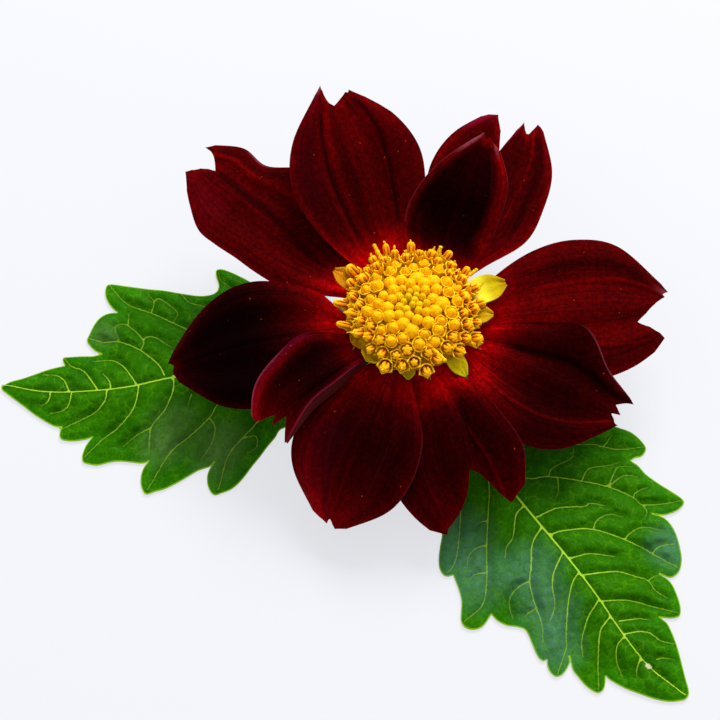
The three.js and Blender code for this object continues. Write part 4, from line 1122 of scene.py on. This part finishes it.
# ---------- leaves ----------
# base: where the blade begins, from the bloom's axis. heading: of the midrib.
# bow: how far the midrib bends to its left, at even steps. left, right: the toothed edge, as (along, across).
# veins: side veins and their branches, as (along, across), across being positive to the left.
# Then the patches of painted sheen, a soft reflection, as (along, across, reach), how strong they are and how
# blue.
# scar: a small pale spot, if any.
LEAVES = {
    "leaf_left": dict(
        base=(-12.3, 0.7), heading=184, length=55.2, bow=(0, -0.1, -0.2, 0.3, 0.8, 2, 2.3, 1.9, 0),
        right=(
            (0.1, 0.8), (3.9, 6.4), (8.2, 11.5), (12, 15.7), (13.9, 17.2), (15.3, 18.2), (16.9, 19.2),
            (18.4, 19.9), (19.4, 19.8), (19.3, 18.3), (19, 17.1), (19, 16.2), (19.4, 15.4), (20.4, 14.9),
            (22.1, 14.8), (24.1, 15.2), (26, 15.7), (28.2, 16.3), (30.5, 16.7), (32.7, 17.2), (34.9, 17.7),
            (36.6, 18.1), (37.7, 18.2), (38, 17), (37.9, 15.6), (37.4, 14.3), (36.7, 13.2), (36, 12.5),
            (37.2, 12.5), (38.4, 12.1), (39.4, 11.2), (40.2, 9.9), (40.8, 8.5), (41.2, 7.4), (40.6, 6.2),
            (39.8, 5.3), (38.8, 4.7), (40.2, 4.4), (42.4, 4.5), (44, 4.5), (45.4, 4.5), (45.2, 3.7),
            (44.9, 2.9), (46.5, 2.6), (48.1, 2.2), (50.1, 1.5), (52, 0.9), (53.7, 0.5), (54.8, 0),
            (55.2, 0),
        ),
        left=(
            (0.1, 0.9), (3, 6.2), (6.6, 10.4), (9.9, 11.4), (11, 12.9), (12.5, 14.7), (13.6, 16.2),
            (14.9, 17.8), (16.4, 19.8), (17.6, 21.1), (18.7, 21.9), (20.1, 22.4), (21.2, 22.7), (21.9, 22),
            (22.3, 20.7), (22.3, 19.2), (21.8, 17.8), (21, 16.7), (21.8, 17.5), (22.8, 17.8), (23.9, 18.2),
            (25.6, 19.2), (27.2, 20.1), (29.1, 21), (30.7, 21.4), (32.1, 21.8), (32.7, 21.1), (33, 19.8),
            (32.9, 18.3), (32.4, 16.9), (31.6, 15.8), (32.2, 16.1), (33.1, 16.1), (34.6, 15.8),
            (36.6, 15.5), (38.3, 15.7), (39.8, 16), (41.3, 15.7), (42.2, 15.2), (42.3, 14.2), (42, 13.1),
            (41.5, 12), (40.6, 10.8), (41.5, 11.1), (43.1, 11.3), (44.7, 11.2), (45.9, 10.8), (45.9, 9.6),
            (45.5, 8.6), (46.6, 8.4), (47.9, 7.6), (49.8, 6.1), (51.4, 4.6), (53.1, 3), (54.4, 1.8),
            (55.3, 0.8), (55.2, 0),
        ),
        veins=(
            ((7.8, -1.9), (13.2, -10), (16.9, -15.9), (18.5, -17.4), (18.9, -19.4)),
            ((4.6, -0.9), (13.3, -7.7), (21.3, -12.5), (23.8, -13.4), (25.4, -15.4)),
            ((12.5, -0.5), (18.4, -4.4), (24.9, -8.5), (30.4, -11.9), (34.5, -14.2), (37.3, -18.1)),
            ((30.4, -11.9), (29.9, -14.1), (31.1, -16.1)),
            ((29.9, -14.1), (29.1, -14.7), (27.8, -13.7), (26, -11.6), (26.7, -9.9)),
            ((28.4, 0.2), (29.4, -1.9), (32.2, -4.7), (35.6, -6.6), (38.4, -6.9), (40.9, -7.8)),
            ((32.2, -4.7), (31.8, -6.7), (34.3, -9.7), (36, -10), (36.5, -9.3), (35.8, -6.8)),
            ((31.8, -6.7), (31, -7.3), (29.5, -6.9), (27.1, -4.9)),
            ((34.3, -9.7), (34.1, -12.2)),
            ((33.2, 1.2), (35.1, -1.8), (37.2, -3.2), (40.3, -3.3)),
            ((39.5, 1.9), (41.7, -1.4), (43.8, -2.6), (45.2, -4.7)),
            ((37.2, 1.9), (37.5, 0.7), (38.5, -0.8)),
            ((44.1, 2.2), (45, 0), (46.4, -1), (48.5, -1.3)),
            ((13.5, -0.4), (16.9, 3.1), (20, 6.3), (21.4, 8.6), (24.7, 11.8), (28.1, 14.7), (31.9, 21)),
            ((21.4, 8.6), (20.6, 10.8), (21.5, 13.8), (23.2, 16.3)),
            ((6.2, -0.3), (9.8, 4.9), (14, 10.3), (16.4, 12.9), (18.9, 16.1), (20.6, 21.8)),
            ((16.4, 12.9), (14.2, 12.5), (14.1, 14.5), (15.7, 15.6)),
            ((26.9, 0.4), (27.1, 3.2), (28.6, 6.7), (30.9, 9.8), (31.5, 14)),
            ((30.9, 9.8), (33.3, 11.1), (35.6, 13)),
            ((32.6, 1.6), (33.2, 4.8), (34.3, 7.1), (36.6, 9.7), (38.9, 11.3), (41.9, 14.4)),
            ((37.8, 2.2), (38.3, 4.4), (40, 6.4), (42.9, 7.9), (45.6, 9.1)),
            ((43.7, 2.3), (44.3, 4.7), (45.5, 5.8), (47.3, 6)),
            ((47.2, 2.2), (47.6, 3.8), (48.8, 4.6)),
            ((24.1, 4.1), (24.8, 6.1)),
        ),
        painted_sheen=((27, 10, 7), (19, 13, 6), (21, 17, 6), (30, 14, 5), (38.5, -8.5, 4)),
        bloom=0.55, cool=0.1, scar=None,
    ),
    "leaf_right": dict(
        base=(6.3, -10.3), heading=306.4, length=59.3, bow=(0, 0.1, 0.1, 0, -0.1, -0.5, -1.3, -1.6, 0),
        right=(
            (0.3, 0.8), (5.7, 6.2), (11.5, 11), (14.9, 13.4), (16.5, 15), (18.1, 16.5), (19.5, 17.4),
            (20.7, 17.6), (21.4, 17.2), (21.7, 16.4), (23.3, 16.9), (24.9, 17.5), (26.2, 18.2),
            (27.5, 19.3), (28.5, 20.1), (29.5, 20.4), (30.4, 20.1), (31.1, 19.3), (31.4, 18.3),
            (31.2, 17.2), (30.6, 15.7), (32, 15.6), (33.5, 14.9), (34.6, 13.8), (35.6, 13.1), (36.7, 13.2),
            (38, 13.6), (39.6, 14.1), (40.7, 14.3), (41.5, 14.1), (41.7, 13.5), (42.6, 14.1), (43.7, 14.4),
            (44.8, 14.3), (45.1, 13.2), (44.7, 11.9), (44.1, 10.8), (43.3, 10.3), (45.3, 11.3),
            (46.8, 11.4), (48.4, 11.4), (49.8, 11.1), (50.8, 10.7), (50.8, 9.6), (50.1, 8.7), (49.2, 7.9),
            (50.3, 7.7), (52.5, 6.8), (54.5, 5.6), (56.5, 4.3), (58, 3), (58.9, 1.7), (59.4, 0.6),
            (59.3, 0),
        ),
        left=(
            (0.1, 0.7), (4, 5.1), (7.6, 8.8), (10.7, 13), (13.7, 17.3), (15.7, 20.4), (17.1, 21.5),
            (18.7, 22.4), (20.7, 22.7), (22.4, 22.4), (23, 21), (22.6, 19.9), (22.6, 19), (24, 19.4),
            (25.7, 19.4), (26.9, 19.6), (28.8, 20.1), (31, 20.8), (32.5, 21.2), (33.5, 21.1), (33.9, 19.9),
            (33.8, 18.5), (33.2, 16.9), (32, 15.7), (33.3, 16.6), (34.6, 16.9), (36.2, 16.7), (37.9, 16.1),
            (39.8, 15.1), (41.1, 14.2), (42.2, 12.9), (42.5, 11.7), (42.2, 10.7), (40.8, 9.9), (42.2, 10.3),
            (43.4, 10.3), (44.8, 9.9), (46.3, 9.3), (47.5, 8.6), (48.2, 7.7), (47.7, 6.4), (46.5, 5.1),
            (47.9, 5.4), (49.3, 5.1), (50.8, 4.6), (52.7, 3.8), (55.1, 2.6), (57.1, 1.6), (58.6, 0.9),
            (59.5, 0.1), (59.3, 0),
        ),
        veins=(
            ((1.8, 0.7), (8.4, 7.4), (15.1, 13.7), (16.7, 15.9), (19.8, 18.7), (22, 22.4)),
            ((18, 17.1), (17.5, 18.7), (17.2, 19.6)),
            ((8.8, 0.3), (14.8, 3.1), (17, 6.4), (20.7, 10.1), (24.2, 13), (28, 15), (29.8, 15.4),
             (31.5, 17.9), (33.1, 21.2)),
            ((17, 6.4), (16.2, 7.9), (16.6, 11.5), (15.4, 13)),
            ((20.8, 10.2), (19.8, 12.5), (21.1, 15.3), (21.8, 17.5)),
            ((24.2, 13), (24.1, 16.3), (25.7, 18)),
            ((24.2, 13), (22.7, 15.6), (22.4, 16.8), (23.7, 18.5)),
            ((28, 15), (27.6, 16.1), (28, 18.1)),
            ((29.8, 15.4), (31.3, 15.2), (32, 14)),
            ((18.3, 7.3), (20.1, 5.9), (20.8, 4.6)),
            ((21.5, 0.4), (22.2, 4), (24.5, 7.6), (24.7, 8.8), (26.6, 10.5)),
            ((25.2, 0.4), (25.9, 2.4), (28.4, 6.1), (32.9, 9.1), (37.3, 11.1), (42, 13)),
            ((28.5, 6.3), (27.7, 7.7), (28, 9.9), (29.7, 11.4)),
            ((32.9, 9.1), (32.6, 10.7), (33, 12.8), (35.4, 15.3)),
            ((37.4, 11.2), (37.2, 13.1), (38.3, 15.2)),
            ((30.3, 0.3), (31.5, 3.1), (34.3, 6)),
            ((33.7, 0), (36.3, 4.4), (38.9, 6.4), (40.7, 7.6), (42.7, 7.4), (44.8, 8.1)),
            ((40.7, 7.6), (40.7, 8.9), (41.1, 9.8)),
            ((38.9, -0.5), (41.2, 2.7), (44.4, 5.2), (47.7, 7.9)),
            ((43.2, -0.5), (44.7, 2), (46, 3.6)),
            ((45.5, -1), (46.5, 0.9), (47.8, 2.1), (49.7, 2.6), (51.4, 4)),
            ((51.7, 0.1), (52.2, 1.1), (53.6, 2.4)),
            ((2.1, 0.4), (7.6, -0.1), (12.5, -2.2), (16.1, -5.1), (20.6, -8.9), (25.4, -12.6), (28.5, -15.8),
             (29.1, -19.8)),
            ((20.7, -9), (20.3, -10.4), (20.5, -12.2), (21.8, -13.7)),
            ((24.5, -12), (23.8, -13.4), (23.8, -14.7)),
            ((17.5, -6.2), (17, -7.2), (16.9, -8.4)),
            ((1, 0.1), (7.4, -4), (13.8, -8.8), (18.4, -12.9), (20.4, -15.2), (20.9, -17)),
            ((18.7, -0.2), (19.3, -2.1), (22, -4.8), (22.9, -6.8), (24.2, -8)),
            ((23.3, -0.2), (24.8, -3.1), (27.8, -5.7), (29.6, -7.4), (32.5, -8.9), (36.5, -10.4),
             (39.1, -12.2)),
            ((29.6, -7.4), (29.5, -9.8), (30.5, -12.1), (33.2, -13.5)),
            ((34.1, -9.4), (33.9, -10.7), (34, -11.9)),
            ((28.8, -0.3), (30.6, -3.4), (32.5, -5.2), (35.2, -6.8), (37, -9.1)),
            ((32.9, -0.3), (33.8, -2.3), (36.2, -5), (40.4, -8.7), (41.9, -9.8), (44.6, -13.7)),
            ((38.5, -0.9), (39.8, -3.8), (42.3, -7.1), (44.6, -8.7)),
            ((41.8, -1.3), (42.8, -3.9), (46.2, -7), (50.3, -10.2)),
            ((45.7, -1.5), (46.3, -3.4), (48.4, -5.1), (50.9, -5.9)),
            ((49.9, -1.6), (51, -3.2), (52.2, -4.2)),
        ),
        painted_sheen=((17, -12, 8), (24, -14, 8), (28, -6, 7), (35, -8, 7), (41, -11, 6), (38.5, 14.5, 6)),
        bloom=0.9, cool=1, scar=(51.8, -1.6),
    ),
}
LEAF_THICKNESS = 0.4
LEAF_ARCH = 2.04
LEAF_LEAN = 0.55  # how far raised parts lean to the front, as a share of their lift
LEAF_MESH = 0.42  # spacing of the blade's points
EDGE_MESH = 0.25
VEIN_MESH = 0.4
NET_LINE_MESH = 0.5
NET_MESH = 1.7  # size of a cell in the net of finest veins
MIDRIB_STEPS = 140
MIDRIB_HALF_WIDTH = 0.19
SIDE_VEIN_HALF_WIDTH = 0.08
NET_HALF_WIDTH = 0.08
SCAR_STRETCH = (1.1, 2.2)
LEAF_NODE = np.array([0, 1.6, 2.6])  # where the leaves' stalks leave the stem, and how far out they show
LEAF_NODE_REACH = 3.3
LEAF_STALK_STEPS = 24
TOOTH_CORNER = 66  # turns sharper than this stay corners of the edge
TOOTH_ROUNDING = 0.45  # how far the tips of the teeth are rounded


def curve(points, step):
    """Evenly spaced points on the smooth curve through points."""
    path = np.asarray(points, float)
    if len(path) > 2:
        path = smooth_path(path, np.linspace(0, 1, 12 * len(path)))
    far = np.concatenate([[0], np.cumsum(np.linalg.norm(np.diff(path, axis=0), axis=1))])
    return between(np.linspace(0, far[-1], max(2, round(far[-1] / step) + 1)), far, path)


def toothed(points, side):
    """An edge through points: rounded teeth, sharp notches, smooth bulges. side: 1 left, -1 right."""
    runs = np.diff(points, axis=0)
    heading = np.degrees(np.arctan2(runs[:, 1], runs[:, 0]))
    bend = (np.diff(heading) + 180) % 360 - 180
    corners = [0, *(np.flatnonzero(np.abs(bend) > TOOTH_CORNER) + 1), len(points) - 1]
    parts = [curve(points[start:stop + 1], EDGE_MESH)[:-1] for start, stop in zip(corners, corners[1:])]
    edge = np.concatenate([*parts, points[-1:]])
    tips = points[1:-1][bend * side < -TOOTH_CORNER]
    notches = points[1:-1][bend * side > TOOTH_CORNER]
    to_tip, to_notch = (np.linalg.norm(edge[:, None] - ends, axis=2).min(1) for ends in (tips, notches))
    rounding = (1 - ease(to_tip, 0.8, 2.4)) * ease(to_notch, 0.2, 1.0)
    for _ in range(round(2 * (TOOTH_ROUNDING / EDGE_MESH) ** 2)):
        middle = (edge[:-2] + 2 * edge[1:-1] + edge[2:]) / 4
        edge[1:-1] += (middle - edge[1:-1]) * rounding[1:-1, None]
    return edge


def distance_to(paths, points):
    """For each point: distance to the nearest of some paths, that path's number and the share along it."""
    starts = np.concatenate([path[:-1] for path in paths])
    ends = np.concatenate([path[1:] for path in paths])
    owner = np.concatenate([np.full(len(path) - 1, n) for n, path in enumerate(paths)])
    share = np.concatenate([np.linspace(0, 1, len(path) - 1) for path in paths])
    best = np.full(len(points), 1e9)
    nearest = np.zeros(len(points), int)
    for n, (start, end) in enumerate(zip(starts, ends)):
        run = end - start
        s = np.clip(((points - start) @ run) / (run @ run + 1e-12), 0, 1)
        gap = np.linalg.norm(points - start - s[:, None] * run, axis=1)
        closer = gap < best
        best[closer] = gap[closer]
        nearest[closer] = n
    return best, owner[nearest], share[nearest]


def inside(outline, points):
    """Which points lie inside a closed outline."""
    x, y = points[:, 0][:, None], points[:, 1][:, None]
    a, b = outline, np.roll(outline, -1, axis=0)
    crosses = (a[:, 1] > y) != (b[:, 1] > y)
    meet = (b[:, 0] - a[:, 0]) * (y - a[:, 1]) / (b[:, 1] - a[:, 1] + 1e-12) + a[:, 0]
    return (crosses & (x < meet)).sum(1) % 2 == 1


def scattered(low, high, step, jitter, rng):
    """Points of a honeycomb between two corners, each moved a little."""
    rows = np.arange(low[1], high[1], step * math.sqrt(0.75))
    columns = np.arange(low[0], high[0], step)
    x, y = np.meshgrid(columns, rows)
    x = x + (np.arange(len(rows)) % 2)[:, None] * step / 2
    points = np.stack([x.ravel(), y.ravel()], -1)
    return points + rng.uniform(-jitter, jitter, points.shape) * step


def meshed(points, links, kind, near):
    """Points and triangles of a mesh through points in a plane, which keeps the links between them."""
    flat = [tuple(map(float, point)) for point in points]
    result = delaunay_2d_cdt(flat, links, [], kind, near)
    return np.array([tuple(point) for point in result[0]]), [tuple(face) for face in result[2]]


def net_of_veins(outline, rng):
    """The finest veins: the borders between cells about scattered points, as pairs of points."""
    seeds = scattered(outline.min(0) - NET_MESH, outline.max(0) + NET_MESH, NET_MESH, 0.75, rng)
    corners, triangles = meshed(seeds, [], 0, 1e-6)
    a, b, c = (corners[[face[n] for face in triangles]] for n in range(3))
    centres = (a + b + c) / 3
    across = {}
    borders = []
    for n, (a, b, c) in enumerate(triangles):
        for key in (tuple(sorted(side)) for side in ((a, b), (b, c), (c, a))):
            if key in across:
                borders.append((centres[across[key]], centres[n]))
            across[key] = n
    starts, stops = (np.array(ends) for ends in zip(*borders))
    keep = inside(outline, starts) & inside(outline, stops)
    return [np.array(border) for border, kept in zip(borders, keep) if kept]


def make_leaf(name, leaf, material, seed):
    rng = np.random.default_rng(seed)
    left = toothed(np.array(leaf["left"], float), 1)
    right = toothed(np.array(leaf["right"], float) * [1, -1], -1)
    edge = np.concatenate([left, right[-2::-1]])
    rib_u = np.linspace(0, 1, MIDRIB_STEPS)
    midrib = np.stack([rib_u * leaf["length"], smooth(leaf["bow"], rib_u)], -1)[1:-1]
    veins = [midrib, *(curve(path, VEIN_MESH) for path in leaf["veins"])]
    net = net_of_veins(edge, rng)
    fine = [curve(border, NET_LINE_MESH) for border in net]
    scatter = scattered(edge.min(0), edge.max(0), LEAF_MESH, 0.12, rng)
    scatter = scatter[inside(edge, scatter)]
    clear = np.ones(len(scatter), bool)
    for lines, room in (([np.vstack([edge, edge[:1]])], 0.45), (veins, 0.4), (fine, 0.3)):
        clear &= distance_to(lines, scatter)[0] > LEAF_MESH * room
    points = [edge]
    links = [(n, (n + 1) % len(edge)) for n in range(len(edge))]
    count = len(edge)
    for path in veins + fine:
        path = path[inside(edge, path)]
        if len(path) > 1:
            points.append(path)
            links += [(count + n, count + n + 1) for n in range(len(path) - 1)]
            count += len(path)
    plan, triangles = meshed(np.concatenate([*points, scatter[clear]]), links, 1, 1e-5)
    shape_leaf(name, leaf, material, plan, triangles, edge, veins, net)


def shape_leaf(name, leaf, material, plan, triangles, edge, veins, net):
    """Raises the flat blade into its relief, thickens it and turns it into place."""
    length = leaf["length"]
    rim = distance_to([np.vstack([edge, edge[:1]])], plan)[0]
    rib = np.abs(plan[:, 1] - smooth(leaf["bow"], np.clip(plan[:, 0] / length, 0, 1)))
    rib_gap, _, rib_share = distance_to(veins[:1], plan)
    side_gap, side_owner, side_share = distance_to(veins[1:], plan)
    branch = np.array([np.abs(path[0, 1] - np.interp(path[0, 0], *veins[0].T)) > 1.2 for path in veins[1:]])
    side_strength = (0.88 - 0.6 * side_share) * np.where(branch[side_owner], 0.55, 1.0)
    net_gap = distance_to(net, plan)[0]
    rib_line = rib_gap / (MIDRIB_HALF_WIDTH * (1.05 - 0.75 * rib_share))
    side_line = side_gap / (SIDE_VEIN_HALF_WIDTH * (1.1 - 0.6 * side_share))
    vein = np.clip(np.minimum(rib_line, side_line), 0, 4) / 4
    pallor = np.where(rib_line < side_line, 1.0, side_strength)
    net_line = np.clip(net_gap / NET_HALF_WIDTH, 0, 5) / 5
    gap = np.minimum(rib_gap, side_gap)
    slopes = np.minimum(1, np.minimum(plan[:, 0] / 6, (length - plan[:, 0]) / 22))
    arch = LEAF_ARCH * np.clip(slopes, 0, 1) * ease(rim / (rim + rib + 1e-6), 0.0, 1.0)
    quilt = 0.72 * ease(gap, 0.0, 1.7) + 0.12 * ease(net_gap, 0.0, 0.7)
    wave = 0.22 * np.sin(plan[:, 0] * 0.5 + 1.3) * np.sin(plan[:, 1] * 0.4 + 0.4)
    inner = ease(rim, 0.0, 2.5)
    lift = np.maximum(arch + (quilt + wave) * inner + 0.2 * (1 - inner), 0.0)
    half = LEAF_THICKNESS / 2 * (0.35 + 0.65 * ease(rim, 0.0, 0.8))
    middle = LEAF_THICKNESS / 2 + lift
    cos, sin = turn(leaf["heading"])
    x = leaf["base"][0] + plan[:, 0] * cos - plan[:, 1] * sin
    y = leaf["base"][1] + plan[:, 0] * sin + plan[:, 1] * cos - LEAF_LEAN * np.maximum(lift - 0.3, 0)
    rib_bulge = 0.3 * (1 - ease(rib_gap, 0.0, 0.7)) + 0.12 * (1 - ease(side_gap, 0.0, 0.4))
    upper = np.stack([x, y, middle + half], -1)
    lower = np.stack([x, y, np.maximum(middle - half - rib_bulge, 0.02)], -1)
    count = len(plan)
    pairs = {pair for a, b, c in triangles for pair in ((a, b), (b, c), (c, a))}
    border = sorted(pair for pair in pairs if (pair[1], pair[0]) not in pairs)
    faces = [list(face) for face in triangles]
    faces += [[c + count, b + count, a + count] for a, b, c in triangles]
    faces += [[b, a, a + count, b + count] for a, b in border]
    # Patches of painted sheen, a soft reflection painted into the colour.
    patches = [bump(np.hypot(plan[:, 0] - x, plan[:, 1] - y), 0, reach) for x, y, reach in leaf["painted_sheen"]]
    painted_sheen = np.clip(leaf["bloom"] * sum(patches), 0, 1)
    scar = np.zeros(count)
    if leaf["scar"]:
        scar = bump(np.hypot(*((plan - leaf["scar"]) * SCAR_STRETCH).T), 0, 1)
    piece(
        name + "_blade", np.concatenate([upper, lower]) + HEAD, faces, material, name, "leaf",
        vein=both_sides(vein), net=both_sides(net_line), rim=both_sides(rim),
        under=np.repeat([0.0, 1.0], count), gap=both_sides(gap), pallor=both_sides(pallor),
        painted_sheen=both_sides(painted_sheen), cool=leaf["cool"], scar=both_sides(scar),
    )


def leaf_colour(paint):
    place = paint.place()
    broad = paint.noise(place, 60.0)
    blotch = paint.noise(place, 420.0, 4.0, 0.65)
    speckled = paint.noise(place, 2600.0, 3.0, 0.6)
    broad = paint.ramp(broad, (0.3, 0.0), (0.7, 1.0))
    green = paint.mix(broad, (0.01, 0.086, 0.0002), (0.025, 0.142, 0.0003))
    green = paint.mix(paint.ramp(blotch, (0.35, 0.0), (0.75, 0.6)), green, (0.038, 0.185, 0.0004))
    margin = paint.ramp(paint.times(paint.read("rim"), 0.25), (0.0, 0.75), (0.9, 0.0))
    green = paint.mix(paint.times(margin, blotch), green, (0.03, 0.24, 0.002))
    # Darker beside the veins: painted shade in the hollows that fall to them.
    near = paint.ramp(paint.read("gap"), (0.0, 0.55), (0.8, 0.0))
    green = paint.mix(near, green, (0.009, 0.067, 0.0003))
    # Painted sheen: a bluish-grey reflection in patches, broken by the speckle and the net.
    painted_sheen = paint.times(paint.read("painted_sheen"), paint.ramp(speckled, (0.35, 0.7), (0.65, 1.0)))
    painted_sheen = paint.times(painted_sheen, paint.ramp(paint.read("net"), (0.1, 0.6), (0.7, 1.0)))
    green = paint.mix(paint.ramp(speckled, (0.42, 0.4), (0.6, 0.0)), green, (0.007, 0.062, 0.0002))
    sheen_colour = paint.mix(paint.read("cool"), (0.1, 0.19, 0.04), (0.062, 0.18, 0.09))
    green = paint.mix(painted_sheen, green, sheen_colour)
    net = paint.ramp(paint.read("net"), (0.1, 0.4), (0.36, 0.0))
    net = paint.times(net, paint.ramp(blotch, (0.4, 0.1), (0.62, 0.8)))
    vein = paint.times(paint.ramp(paint.read("vein"), (0.17, 1.0), (0.34, 0.0)), paint.read("pallor"))
    rim = paint.ramp(paint.read("rim"), (0.07, 1.0), (0.24, 0.0))
    colour = paint.mix(net, green, (0.095, 0.26, 0.002))
    colour = paint.mix(paint.times(rim, 0.8), colour, (0.26, 0.46, 0.01))
    colour = paint.mix(vein, colour, (0.32, 0.53, 0.03))
    colour = paint.mix(paint.ramp(paint.read("scar"), (0.1, 0.0), (0.5, 0.85)), colour, (0.6, 0.62, 0.33))
    return paint.mix(paint.times(paint.read("under"), 0.6), colour, (0.2, 0.34, 0.1))


def leaf_height(paint):
    place = paint.place()
    cells = paint.add("ShaderNodeTexVoronoi", {"Vector": place, "Scale": 1500.0}, "Distance")
    return paint.plus(cells, paint.times(paint.noise(place, 3000.0), 0.5))


def petiole(leaf):
    """The short stalk from the stem's node to the blade."""
    x, y = leaf["base"]
    start = LEAF_NODE + unit(np.array([x, y - LEAF_NODE[1], 0.0])) * LEAF_NODE_REACH
    foot = np.array([x, y, 1.0])
    sag = start + (foot - start) * 0.45
    sag[2] = 1.3
    end = foot + towards(leaf["heading"], 0) * 4
    end[2] = 0.9
    path = smooth_path([start, sag, foot, end], np.linspace(0, 1, LEAF_STALK_STEPS))
    return rod(path, np.linspace(1, 0.5, LEAF_STALK_STEPS), 16)


def make_leaves():
    shine = dict(Specular_IOR_Level=0.02, Specular_Tint=(0.5, 1.0, 0.4, 1.0))
    skin = finish("leaf_skin", leaf_colour, 0.42, leaf_height, 0.04, **shine)
    stalk_skin = finish("leaf_stalk_skin", stem_colour, 0.5, stem_height, 0.08)
    for seed, (name, leaf) in enumerate(LEAVES.items()):
        make_leaf(name, leaf, skin, seed + 3)
        points, faces = petiole(leaf)
        piece(name + "_stalk", points + HEAD, faces, stalk_skin, name, "leaf")


# ---------- floor, light and camera ----------
FRAME_SIZE = 720  # the picture's side in pixels
PIXEL = 0.16  # millimetres to a pixel at the bloom
HEAD_PIXEL = (414, 326)  # where the foot of the petals' plane shows
DISTANCE = 400.0
ELEVATION = 60
SENSOR = 36.0
NEAREST_SEEN = 0.05  # metres from the camera
FLOOR_HALF_SIDE = 3.0  # metres
SKY_COLOUR = (0.95, 0.97, 1.0, 1)
SKY_STRENGTH = 0.52
# name, place and size in metres, and power in watts
LAMPS = (("key", (0.16, 0.42, 0.5), 0.42, 6.2), ("fill", (-0.3, -0.3, 0.7), 0.8, 0.8))


def make_floor():
    mesh = bpy.data.meshes.new("floor")
    corners = [(x * FLOOR_HALF_SIDE, y * FLOOR_HALF_SIDE, 0) for x, y in ((-1, -1), (1, -1), (1, 1), (-1, 1))]
    mesh.from_pydata(corners, [], [(0, 1, 2, 3)])
    floor = bpy.data.objects.new("floor", mesh)
    bpy.context.scene.collection.objects.link(floor)
    mesh.materials.append(finish(
        "floor_white", lambda paint: (0.17, 0.173, 0.18), 0.7, Specular_IOR_Level=0.0,
        Emission_Color=(0.93, 0.94, 0.98, 1.0), Emission_Strength=0.72,
    ))


def make_light():
    scene = bpy.context.scene
    world = bpy.data.worlds.new("studio")
    world.use_nodes = True
    sky = world.node_tree.nodes["Background"].inputs
    sky["Color"].default_value = SKY_COLOUR
    sky["Strength"].default_value = SKY_STRENGTH
    scene.world = world
    scene.view_settings.view_transform = "Standard"
    for name, place, size, power in LAMPS:
        light = bpy.data.lights.new(name, "AREA")
        light.size = size
        light.energy = power
        lamp = bpy.data.objects.new(name, light)
        lamp.location = place
        scene.collection.objects.link(lamp)
        lamp.rotation_euler = (-lamp.location).to_track_quat("-Z", "Y").to_euler()


def make_camera():
    cos, sin = turn(ELEVATION)
    right = np.array([1.0, 0, 0])
    up = np.array([0, sin, cos])
    back = np.array([0, -cos, sin])
    across, down = (HEAD_PIXEL[n] - FRAME_SIZE / 2 for n in range(2))
    aim = HEAD + UP * PETAL_PLANE - right * across * PIXEL + up * down * PIXEL
    data = bpy.data.cameras.new("camera")
    data.sensor_width = SENSOR
    data.lens = SENSOR * DISTANCE / (FRAME_SIZE * PIXEL)
    data.clip_start = NEAREST_SEEN
    camera = bpy.data.objects.new("camera", data)
    camera.location = (aim + back * DISTANCE) * MM
    camera.rotation_euler = (math.radians(90 - ELEVATION), 0, 0)
    bpy.context.scene.collection.objects.link(camera)
    bpy.context.scene.camera = camera


# ---------- the whole ----------
make_petals()
make_disc()
for ring_name, ring in BRACT_RINGS.items():
    make_bracts(ring_name, ring)
make_stem()
make_leaves()
make_floor()
make_light()
make_camera()
